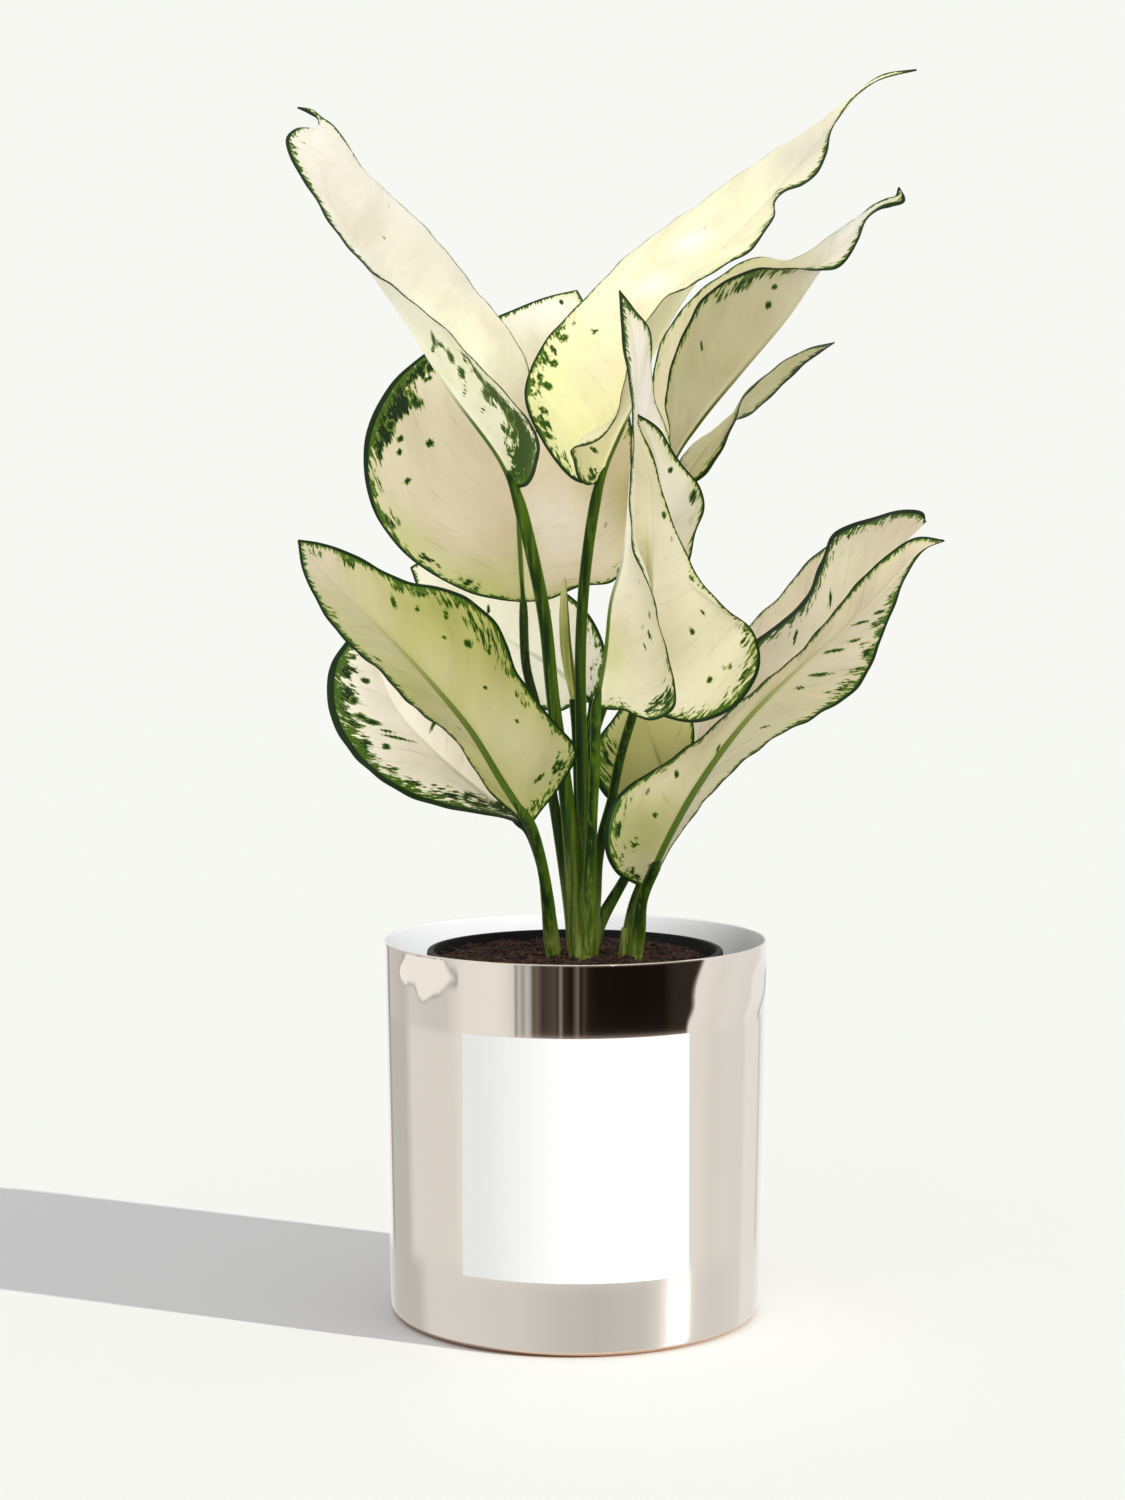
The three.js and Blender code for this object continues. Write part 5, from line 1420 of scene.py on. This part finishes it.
# Stalks painted darker as painted shade, mostly those in the shade of other leaves.
SHADED_STALKS = {
    "leaf_back_round": 1.0, "leaf_front_lobed": 0.7, "leaf_top_left": 0.1, "leaf_front_tall": 0.0,
    "leaf_left_low": 0.45, "leaf_left_low_back": 1.0, "leaf_right_low_back": 0.9, "leaf_right_low": 0.4,
}
SHAFTS = {
    "stems_centre": [(3, -0.5, 5.4, 26), (3.5, 4.5, 5.2, 22)],
    "stem_left": [(-8, -2.5, 2.7, 10), (-8, 1, 2.7, 10)],
    "stem_right": [(22, -2, 2.8, 10), (18.5, 0.5, 2.8, 10)],
}
SHAFT_TONE = 0.2
PLAIN_TONE = 0.3
SHAFT_SIDES = 28
SHAFT_DEPTH = 22
COLLAR_RISE = 3
SHEATH_RINGS = 8
SHEATH_NARROWS = 0.45
SOIL_TOP = 127.5


def route_object(name, points):
    curve = bpy.data.curves.new(name, "CURVE")
    curve.dimensions = "3D"
    spline = curve.splines.new("POLY")
    spline.points.add(len(points) - 1)
    flat = np.column_stack([np.asarray(points) * MM, np.ones(len(points))])
    spline.points.foreach_set("co", flat.ravel())
    holder = bpy.data.objects.new(name, curve)
    bpy.context.scene.collection.objects.link(holder)
    return holder


def stalk_points(leaf, name):
    """The route of a stalk from its foot, and on under its blade's rib for a little way."""
    upwards = leaf["stalk"][::-1] + [leaf["rib"][0]]
    if name not in LEAVES:
        return Route(upwards).points
    grid = blade_surface(leaf, 0)[0]
    middle = grid.shape[1] // 2
    ribline, down = grid[:, middle], -grid_directions(grid)[:, middle]
    steps = np.searchsorted(ROW_SHARES, (0.45 * RUN_UNDER_BLADE, RUN_UNDER_BLADE))
    under = [ribline[0] + SINK_AT_BASE * down[0]]
    under += [ribline[i] + SINK_UNDER_BLADE * down[i] for i in steps]
    return Route(upwards[:-1] + [tuple(point) for point in under]).points


def shaft_mesh(x, y, radius, sheath):
    """The stem in the soil, with a short sheath that narrows above it."""
    low, collar = SOIL_TOP - SHAFT_DEPTH, SOIL_TOP + COLLAR_RISE
    tops = np.linspace(0, 1, SHEATH_RINGS)
    profile = [(0, low), (radius, low), (radius, collar)]
    profile += [(radius * (1 - SHEATH_NARROWS * s**0.8), collar + sheath * s) for s in tops[1:]]
    profile.append((0, collar + sheath))
    points, faces = turned(profile, SHAFT_SIDES)
    mesh = bpy.data.meshes.new("shaft")
    mesh.from_pydata(((np.array(points) + (x, y, 0)) * MM).tolist(), [], faces)
    return mesh


print("routes and shafts ready")

# %% The three shoots
for shoot, shafts in SHAFTS.items():
    meshes = [shaft_mesh(*shaft) for shaft in shafts]
    tones = [SHAFT_TONE] * len(shafts)
    for name, leaf in [*LEAVES.items(), ("new_leaf", NEW_LEAF)]:
        if leaf["shoot"] != shoot:
            continue
        stout = STOUT_STALKS.get(name, 0.0)
        values = {
            "Foot Radius": (FOOT_RADIUS + stout / 2) * MM,
            "Neck Radius": (NECK_RADIUS + stout) * MM,
            "End Radius": (END_UNDER_BLADE if name in LEAVES else END_UNDER_SCROLL) * MM,
            "Steps": STALK_STEPS,
            "Sides": STALK_SIDES,
            "Material": GREEN,
        }
        meshes.append(grown(route_object(name + "_route", stalk_points(leaf, name)), STALKS, values))
        tones.append(SHADED_STALKS.get(name, PLAIN_TONE))
    piece = joined(shoot + "_stalks", meshes, GREEN, tones)
    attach(piece, "root")
    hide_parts(shoot)
    print(shoot, "pieces:", len(meshes), "faces:", len(piece.data.polygons))

# %% [markdown]
# ## The rolled leaf
#
# The youngest leaf is still a scroll. It is a thin sheet wound in a spiral that narrows to a
# point, so its free edge shows as a line down one side.

# %% The rolled leaf
SCROLL_TURNS = 2.3
SCROLL_STEPS = 72
SCROLL_ROWS = 60
SCROLL_THICK = 0.3
SCROLL_CORE = 0.3
SCROLL_TWIST = 0.9
SCROLL_FOOT = 0.18
SCROLL_FULLNESS = 0.75


def scroll_data(leaf):
    route = Route(leaf["rib"])
    share = np.linspace(0, 1, SCROLL_ROWS + 1)
    centres, ahead = route.at(share), route.towards(np.clip(share, 0.01, 0.99))
    across = unit(np.cross(ahead, [0, 1, 0]))
    back = np.cross(ahead, across)
    plump = np.sin(math.pi * (SCROLL_FOOT + (1 - SCROLL_FOOT) * share)) ** SCROLL_FULLNESS
    radius = leaf["tip_radius"] + (leaf["foot_radius"] - leaf["tip_radius"]) * plump
    turn = np.linspace(0, 1, SCROLL_STEPS + 1)
    tight = SCROLL_CORE + (1 - SCROLL_CORE) * turn
    layers = []
    for inset in (0.0, SCROLL_THICK):
        reach = np.maximum(radius[:, None] * tight[None, :] - inset, 0.05)
        angle = 2 * math.pi * SCROLL_TURNS * turn[None, :] + SCROLL_TWIST * share[:, None]
        ring = np.cos(angle)[..., None] * across[:, None] + np.sin(angle)[..., None] * back[:, None]
        layers.append(centres[:, None] + reach[..., None] * ring)
    points = np.concatenate([layer.reshape(-1, 3) for layer in layers])
    edge = np.tile(1 - turn, (SCROLL_ROWS + 1, 1)).ravel()
    up = np.repeat(share, SCROLL_STEPS + 1)
    faces = sheet_faces(SCROLL_ROWS + 1, SCROLL_STEPS + 1)
    return points, faces, np.concatenate([edge, edge]), np.concatenate([up, up])


def young_skin():
    finish = Finish("young_skin", Roughness=0.4, Subsurface_Weight=0.2)
    finish.set(Subsurface_Radius=(1.0, 0.9, 0.3), Subsurface_Scale=0.8 * MM)
    place = finish.place()
    long = finish.node("Mapping", {"Vector": place, "Scale": (1.0, 1.0, 0.06)})
    streak = finish.noise(long, 700.0, 3.0)
    skin = finish.mix(finish.step(streak, 0.35, 0.65), colour(176, 172, 84), colour(134, 140, 54))
    skin = finish.mix(finish.step(finish.attribute("up"), 0.6, 1.0), skin, colour(196, 190, 120))
    margin = finish.step(finish.attribute("edge"), 0.012, 0.03, 1.0, 0.0)
    skin = finish.mix(margin, skin, colour(70, 92, 24))
    finish.set(Base_Color=skin)
    finish.bump(streak, 0.2, 0.2 * MM)
    return finish.material


points, faces, edge, up = scroll_data(NEW_LEAF)
scroll = add_mesh("new_leaf_scroll", points, faces, [young_skin()])
keep_fact(scroll.data, "edge", edge)
keep_fact(scroll.data, "up", up)
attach(scroll, "root")
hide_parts("new_leaf")
print("rolled leaf:", len(faces), "faces")

# %% [markdown]
# ## The soil
#
# Peat and coconut fibre fill the nursery pot. The body is a fine version of the solid's crumbly
# top, heaped a little towards the middle. On it lie loose crumbs and bent fibres, hundreds of
# each, which Geometry Nodes scatter: the tree spreads points over the top, puts a piece on each,
# turned and sized at random with a fixed seed, and ends in plain geometry.

# %% The soil
SOIL_RINGS = 70
SOIL_SIDES = 200
SOIL_FLOOR_GAP = 0.3
SOIL_WALL_GAP = 0.1
SOIL_HEAP = 2.0
HEAP_FALLS = (43, 51)
CRUMB_HEIGHT = 1.1
FINE_CRUMB = 0.22
CRUMB_WAVES = [
    (0.31, 0.27, 0.5, 0.5), (0.31, -0.27, 1.3, 0.5), (0.62, -0.5, 0.0, 0.6), (0.55, 0.71, 1.6, 0.5),
]


def crumb(x, y):
    """The solid's own crumbs with finer ones added, on a low heap that falls off at the wall."""
    coarse = sum(share * np.sin(a * x + b * y + start) for a, b, start, share in CRUMB_WAVES)
    fine = np.sin(1.9 * x + 0.7 * y) * np.sin(1.3 * y - 0.8 * x) + 0.6 * np.sin(3.1 * x - 2.3 * y)
    heap = SOIL_HEAP * (1 - smooth_step(*HEAP_FALLS, np.hypot(x, y)))
    return heap + CRUMB_HEIGHT * (coarse + FINE_CRUMB * fine)


def soil_data():
    low = INNER_LOW[2] + INNER_WALL + SOIL_FLOOR_GAP
    top = inner_radius(SOIL_TOP) - INNER_WALL - SOIL_WALL_GAP
    angle = np.arange(SOIL_SIDES) * 2 * math.pi / SOIL_SIDES
    points = [(0.0, 0.0, SOIL_TOP + float(crumb(0.0, 0.0)))]
    rings = []
    for r in range(1, SOIL_RINGS + 1):
        radius = top * r / SOIL_RINGS
        x, y = radius * np.cos(angle), radius * np.sin(angle)
        rings.append(len(points))
        points += list(zip(x, y, SOIL_TOP + crumb(x, y)))
    base = inner_radius(low) - INNER_WALL - SOIL_WALL_GAP
    rings.append(len(points))
    points += [(base * math.cos(a), base * math.sin(a), low) for a in angle]
    faces = []
    for i in range(SOIL_SIDES):
        n = (i + 1) % SOIL_SIDES
        faces.append([0, rings[0] + i, rings[0] + n])
        faces += [[a + i, b + i, b + n, a + n] for a, b in zip(rings, rings[1:])]
    faces.append([rings[-1] + SOIL_SIDES - 1 - i for i in range(SOIL_SIDES)])
    return points, faces


def peat(name, dark, light):
    finish = Finish(name, Roughness=0.95, Specular_IOR_Level=0.2)
    place = finish.place()
    lumps = finish.noise(place, 420.0, 5.0, 0.65)
    finish.set(Base_Color=finish.mix(finish.step(lumps, 0.35, 0.7), dark, light))
    finish.bump(lumps, 0.8, 0.6 * MM)
    return finish.material


soil = add_mesh("soil_body", *soil_data(), [peat("peat", colour(20, 14, 12), colour(54, 36, 30))])
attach(soil, "root")
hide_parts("soil")
print("soil:", len(soil.data.polygons), "faces")

# %% The tree that scatters
def scatter_tree():
    kinds = [("Piece", "Object"), ("Density", "Float"), ("Seed", "Int")]
    kinds += [(name, "Float") for name in ("Small", "Large", "Tilt")]
    tree, given = new_tree("scatter", kinds)
    nodes, links = tree.nodes, tree.links
    spread = nodes.new("GeometryNodeDistributePointsOnFaces")
    links.new(given["Geometry"], spread.inputs["Mesh"])
    links.new(given["Density"], spread.inputs["Density"])
    links.new(given["Seed"], spread.inputs["Seed"])
    turn = nodes.new("FunctionNodeRandomValue")
    turn.data_type = "FLOAT_VECTOR"
    links.new(given["Seed"], turn.inputs["Seed"])
    reach = nodes.new("ShaderNodeCombineXYZ")
    for axis in ("X", "Y"):
        links.new(given["Tilt"], reach.inputs[axis])
    reach.inputs["Z"].default_value = math.pi
    links.new(reach.outputs[0], turn.inputs[1])
    back = nodes.new("ShaderNodeVectorMath")
    back.operation = "SCALE"
    back.inputs["Scale"].default_value = -1.0
    links.new(reach.outputs[0], back.inputs[0])
    links.new(back.outputs[0], turn.inputs[0])
    size = nodes.new("FunctionNodeRandomValue")
    links.new(given["Small"], size.inputs[2])
    links.new(given["Large"], size.inputs[3])
    links.new(given["Seed"], size.inputs["Seed"])
    info = nodes.new("GeometryNodeObjectInfo")
    links.new(given["Piece"], info.inputs["Object"])
    put = nodes.new("GeometryNodeInstanceOnPoints")
    links.new(spread.outputs["Points"], put.inputs["Points"])
    links.new(info.outputs["Geometry"], put.inputs["Instance"])
    links.new(turn.outputs[0], put.inputs["Rotation"])
    links.new(size.outputs[1], put.inputs["Scale"])
    return end_tree(tree, given, put.outputs["Instances"])


SCATTER = scatter_tree()
print("scatter tree:", len(SCATTER.nodes), "nodes")

# %% One crumb and one fibre
CRUMB_SIDES = 7
FIBRE_LENGTH = 9
FIBRE_RADIUS = 0.09
FIBRE_RINGS = 9
FIBRE_SIDES = 3


def crumb_shape(seed):
    """One crumb: a lumpy ball a millimetre across."""
    random = np.random.default_rng(seed)
    profile = [(0, -0.5), (0.35, -0.35), (0.5, 0.0), (0.35, 0.35), (0, 0.5)]
    points, faces = turned(profile, CRUMB_SIDES)
    lumpy = np.array(points) * random.uniform(0.75, 1.25, (len(points), 1))
    return add_mesh(f"crumb_{seed}", lumpy, faces, [])


def fibre_shape(seed):
    """One coconut fibre: a thin bent thread a few millimetres long."""
    random = np.random.default_rng(seed)
    t = np.linspace(-0.5, 0.5, FIBRE_RINGS)
    bend, lift = random.uniform(0.6, 1.6, 2)
    x, y, z = FIBRE_LENGTH * t, bend * np.sin(4 * t + seed), 0.5 * lift * np.cos(5 * t)
    thin = FIBRE_RADIUS * (1 - 1.6 * t * t)
    points, faces = [], []
    for i, centre in enumerate(np.stack([x, y, z], -1)):
        for k in range(FIBRE_SIDES):
            a = 2 * math.pi * k / FIBRE_SIDES
            points.append(centre + thin[i] * np.array([0, math.cos(a), math.sin(a)]))
    for low in range(0, FIBRE_SIDES * (FIBRE_RINGS - 1), FIBRE_SIDES):
        high = low + FIBRE_SIDES
        for k in range(FIBRE_SIDES):
            n = (k + 1) % FIBRE_SIDES
            faces.append([low + k, low + n, high + n, high + k])
    faces += [list(range(FIBRE_SIDES))[::-1], list(range(high, high + FIBRE_SIDES))]
    return add_mesh(f"fibre_{seed}", points, faces, [])


print("crumb and fibre ready")

# %% Loose crumbs and fibres
SCATTER_RADIUS = 49.0
SCATTER_LIFT = 0.2
SCATTER_COLUMNS = 50
FIRST_SEED = 3


def scatter_ground():
    """The soil's top again, only as wide as things may lie on it."""
    steps = np.linspace(-SCATTER_RADIUS, SCATTER_RADIUS, SCATTER_COLUMNS)
    points = [(x, y, SOIL_TOP + float(crumb(x, y)) + SCATTER_LIFT) for y in steps for x in steps]
    faces = []
    for r in range(SCATTER_COLUMNS - 1):
        for c in range(SCATTER_COLUMNS - 1):
            a = SCATTER_COLUMNS * r + c
            b = a + SCATTER_COLUMNS
            ring = [a, a + 1, b + 1, b]
            if all(math.hypot(points[i][0], points[i][1]) < SCATTER_RADIUS for i in ring):
                faces.append(ring)
    return add_mesh("scatter_ground", points, faces, [])


def scattered(name, shapes, density, small, large, tilt, material):
    meshes = []
    for seed, shape in enumerate(shapes):
        values = {
            "Piece": shape, "Density": density / MM**2, "Seed": FIRST_SEED + seed,
            "Small": small, "Large": large, "Tilt": tilt, "Material": material,
        }
        meshes.append(grown(scatter_ground(), SCATTER, values))
    for shape in shapes:
        bpy.data.objects.remove(shape)
    piece = joined(name, meshes, material)
    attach(piece, "root")
    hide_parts("soil")
    print(name, "faces:", len(piece.data.polygons))


crumb_finish = peat("crumbs", colour(24, 16, 14), colour(76, 50, 42))
fibre_finish = peat("fibres", colour(66, 42, 32), colour(124, 88, 66))
crumbs = [crumb_shape(seed) for seed in (1, 2)]
scattered("soil_crumbs", crumbs, 0.13, 0.6, 2.2, math.pi, crumb_finish)
fibres = [fibre_shape(seed) for seed in (1, 2, 3)]
scattered("soil_fibres", fibres, 0.035, 0.5, 1.4, 0.35, fibre_finish)

# %% [markdown]
# ## Floor and light
#
# The picture is a bright studio shot, almost without shadow. An even pale surround lights the
# plant from everywhere, and suns shape it. Each sun lights only what it is meant for: a broad
# soft key from the upper right models the leaves. Two suns without shadows open up what it
# leaves dark, one from the front and one low from the left. One sun brightens the pot's inside,
# one shades the label round the pot, and a low sharp one throws the pot's shadow along the floor
# to the left. Floor and surround come out equally bright, so that no horizon shows.

# %% Floor and light
SURROUND = colour(247, 248, 243)
SURROUND_LIGHT = 0.75
FLOOR_RADIUS = 4000.0
FLOOR_SIDES = 128
FLOOR_GREY = colour(232, 232, 237)
LOW_SUN_TINT = (0.988, 1.0, 0.838)


def sun(name, from_right, height, softness, strength, receivers, shadows=True, tint=(1, 1, 1)):
    """A sun that lights only the receivers, from the right of the camera and above, in degrees."""
    data = bpy.data.lights.new(name, "SUN")
    data.energy = strength
    data.color = tint
    data.angle = math.radians(softness)
    data.use_shadow = shadows
    light = bpy.data.objects.new(name, data)
    light.rotation_euler = (math.radians(90 - height), 0, math.radians(from_right))
    light.light_linking.receiver_collection = receivers
    bpy.context.scene.collection.objects.link(light)


floor_finish = Finish("floor", Base_Color=FLOOR_GREY, Roughness=0.9, Specular_IOR_Level=0.0)
floor_disc = turned([(FLOOR_RADIUS, 0.0), (0, 0.0)], FLOOR_SIDES)
floor = add_mesh("floor", *floor_disc, [floor_finish.material])
print("floor ready")

# %% The surround
world = bpy.data.worlds.new("surround")
world.use_nodes = True
world_nodes, world_links = world.node_tree.nodes, world.node_tree.links
background = world_nodes["Background"]
background.inputs["Color"].default_value = SURROUND
path = world_nodes.new("ShaderNodeLightPath")
seen = world_nodes.new("ShaderNodeMath")
seen.operation = "MAXIMUM"
world_links.new(path.outputs["Is Camera Ray"], seen.inputs[0])
world_links.new(path.outputs["Is Glossy Ray"], seen.inputs[1])
strength = world_nodes.new("ShaderNodeMapRange")
strength.inputs["To Min"].default_value = SURROUND_LIGHT
world_links.new(seen.outputs[0], strength.inputs["Value"])
world_links.new(strength.outputs["Result"], background.inputs["Strength"])
bpy.context.scene.world = world
print("surround ready")

# %% The suns
pieces = [piece for piece in bpy.context.scene.objects if piece.type == "MESH"]
lit = {name: bpy.data.collections.new(name) for name in ("floor", "pot", "label", "plant")}
for piece in pieces:
    kind = {floor: "floor", cachepot: "pot", label: "label"}.get(piece, "plant")
    lit[kind].objects.link(piece)
sun("key_sun", 42, 52, 35, 0.75, lit["plant"])
sun("fill_sun", 8, 24, 5, 0.68, lit["plant"], shadows=False)
sun("side_sun", -60, 12, 5, 0.55, lit["plant"], shadows=False)
sun("pot_sun", 25, 35, 5, 2.85, lit["pot"], shadows=False)
sun("label_sun", 62, 30, 5, 2.3, lit["label"], shadows=False)
sun("low_sun", 65, 25, 0.8, 3.43, lit["floor"], tint=LOW_SUN_TINT)
bpy.context.scene.view_settings.view_transform = "Standard"
print("suns:", len(bpy.data.lights))

# %% [markdown]
# ## What the pot reflects
#
# A mirror is only as good as what it reflects, and a photographer builds that with boards: here
# one curved board lies and stands round the front of the pot, seen by reflections alone. It is
# laid out the way light travels. Each of its points is where a ray from the camera lands after
# it meets the pot at one height and one place across, so that a shade given for a place on the
# pot shows there, as straight upright bands. Shades are given at the edges of those bands, from
# -1 at the pot's left edge to 1 at its right, for three heights: grey bands at the sides, a dark
# gap with fine streaks above the label, and a bright streak under it. A pale patch lies at the
# top left. All were set one by one, until the render looked like the pot in the picture.

# %% What the pot reflects
BOARD_REACH = 490.0
BOARD_TOP = 900.0
BOARD_LIFT = 0.5
BOARD_COLUMNS = 520
BOARD_HEIGHTS = [*np.linspace(0.5, 34, 16), *np.linspace(38, 108, 15), *np.linspace(109, 138, 40)]
HIGH_SHADES = [
    (-1, 1.05), (-0.968, 1.0), (-0.96, 0.3), (-0.948, 0.66), (-0.87, 0.64), (-0.83, 0.8),
    (-0.7, 0.74), (-0.645, 0.76), (-0.59, 0.9), (-0.55, 0.98), (-0.4, 1.0), (-0.335, 0.92),
    (-0.305, 0.8), (-0.295, 0.34),
    (-0.28, 0.64), (-0.26, 0.4), (-0.24, 0.64), (-0.225, 0.5), (-0.21, 0.14), (-0.19, 0.18),
    (-0.165, 0.06), (-0.14, 0.075), (-0.1, 0.1), (-0.09, 0.04), (-0.075, 0.3), (-0.06, 0.04),
    (-0.02, 0.01), (0.01, 0.2), (0.02, 0.014), (0.04, 0.065), (0.06, 0.018), (0.1, 0.01),
    (0.3, 0.008), (0.43, 0.01), (0.48, 0.03), (0.545, 0.035), (0.555, 0.3), (0.565, 0.98),
    (0.68, 0.89), (0.76, 0.92), (0.855, 0.86), (0.875, 1.0), (0.94, 0.92), (0.952, 0.5),
    (0.962, 0.95), (1, 1.0),
]
MIDDLE_SHADES = [
    (-1, 1.05), (-0.968, 1.0), (-0.96, 0.36), (-0.948, 0.6), (-0.87, 0.62), (-0.83, 0.88),
    (-0.62, 0.88), (-0.57, 0.96), (0.62, 0.94), (0.69, 0.85), (0.75, 0.88), (0.85, 0.86),
    (0.875, 0.96), (0.94, 0.9), (0.952, 0.66), (0.962, 0.96), (1, 1.0),
]
LOW_SHADES = [
    (-1, 0.8), (-0.95, 0.62), (-0.82, 0.64), (-0.76, 0.84), (-0.6, 0.84), (-0.3, 0.8), (-0.15, 0.72),
    (0.1, 0.64), (0.35, 0.7), (0.42, 0.86), (0.46, 1.2), (0.48, 1.6), (0.575, 1.6), (0.595, 1.0),
    (0.62, 0.86), (0.7, 0.8), (0.85, 0.84), (0.875, 0.96), (0.94, 0.92), (1, 0.96),
]


print("board stops:", len(HIGH_SHADES), len(MIDDLE_SHADES), len(LOW_SHADES))

# %% How bright the board is
LOW_TO_MIDDLE = (22, 34)
MIDDLE_TO_HIGH = (109, 113)
PATCH_ACROSS, PATCH_HALF_WIDTH = -0.75, 0.135
PATCH_HEIGHT, PATCH_HALF_HEIGHT = 130, 8
PATCH_SHADE = 1.08
PATCH_EDGE_SHADE = 0.5
EDGE_LEAN = 0.075
EDGE_LEANS_OVER = (113, 136)
EDGE_RIPPLE = 0.012
EDGE_RIPPLE_LENGTH = 2.3


def board_shade(across, height):
    """How bright the board is, for a place on the pot seen from the camera."""
    edge = EDGE_LEAN * smooth_step(*EDGE_LEANS_OVER, height)
    edge = edge + EDGE_RIPPLE * np.sin(height / EDGE_RIPPLE_LENGTH)
    wavy = across - edge * smooth_step(0.5, 0.6, across)
    high, middle, low = [
        np.interp(place, *np.array(stops).T)
        for place, stops in ((wavy, HIGH_SHADES), (across, MIDDLE_SHADES), (across, LOW_SHADES))
    ]
    shade = low + (middle - low) * smooth_step(*LOW_TO_MIDDLE, height)
    shade = shade + (high - shade) * smooth_step(*MIDDLE_TO_HIGH, height)
    x = (across - PATCH_ACROSS) / PATCH_HALF_WIDTH
    z = (height - PATCH_HEIGHT) / PATCH_HALF_HEIGHT
    patch = np.hypot(x, z) + 0.16 * np.sin(5 * np.arctan2(z, x)) + 0.1 * np.sin(9 * x)
    shade = shade + (PATCH_EDGE_SHADE - shade) * (1 - smooth_step(1.0, 1.08, patch))
    return shade + (PATCH_SHADE - shade) * (1 - smooth_step(0.9, 0.97, patch))


print("shade at the pot's middle:", round(float(board_shade(np.array(0.0), 60)), 2))

# %% The board
def reflected_board():
    across = np.linspace(-0.999, 0.999, BOARD_COLUMNS)
    down = -np.cos(np.arcsin(across))
    lean = math.atan((POT_RIM - POT_BASE) / POT_HEIGHT)
    outward = np.stack([across, down, np.full(BOARD_COLUMNS, -math.sin(lean))], -1)
    points, shades = [], []
    for height in BOARD_HEIGHTS:
        met = np.stack([across, down, np.full(BOARD_COLUMNS, height)], -1)
        met[:, :2] *= pot_radius(height)
        ray = unit(met - np.array(CAMERA_PLACE) / MM)
        ray -= 2 * (ray * outward).sum(-1, keepdims=True) * outward
        ray /= np.linalg.norm(ray[:, :2], axis=-1, keepdims=True)
        reach = np.minimum((BOARD_LIFT - height) / ray[:, 2], BOARD_REACH)
        points.append(met + reach[:, None] * ray)
        shades.append(board_shade(across, height))
    points.append(points[-1] * (1, 1, 0) + (0, 0, BOARD_TOP))
    shades.append(np.ones(BOARD_COLUMNS))
    faces = []
    for r in range(len(points) - 1):
        for c in range(BOARD_COLUMNS - 1):
            a = r * BOARD_COLUMNS + c
            faces.append([a, a + 1, a + BOARD_COLUMNS + 1, a + BOARD_COLUMNS])
    finish = Finish("reflector_board", Base_Color=(0, 0, 0, 1), Specular_IOR_Level=0.0)
    shade = finish.attribute("shade")
    warm = finish.mix(finish.step(shade, 0.0, 0.6), colour(255, 226, 204), (1.0, 1.0, 1.0, 1.0))
    finish.set(Emission_Color=warm, Emission_Strength=shade)
    board = add_mesh("reflector_board", np.concatenate(points), faces, [finish.material])
    keep_fact(board.data, "shade", np.concatenate(shades))
    board.visible_camera = board.visible_diffuse = board.visible_shadow = False
    board.visible_transmission = board.visible_volume_scatter = False
    return board


board = reflected_board()
print("reflector board:", len(board.data.polygons), "faces")
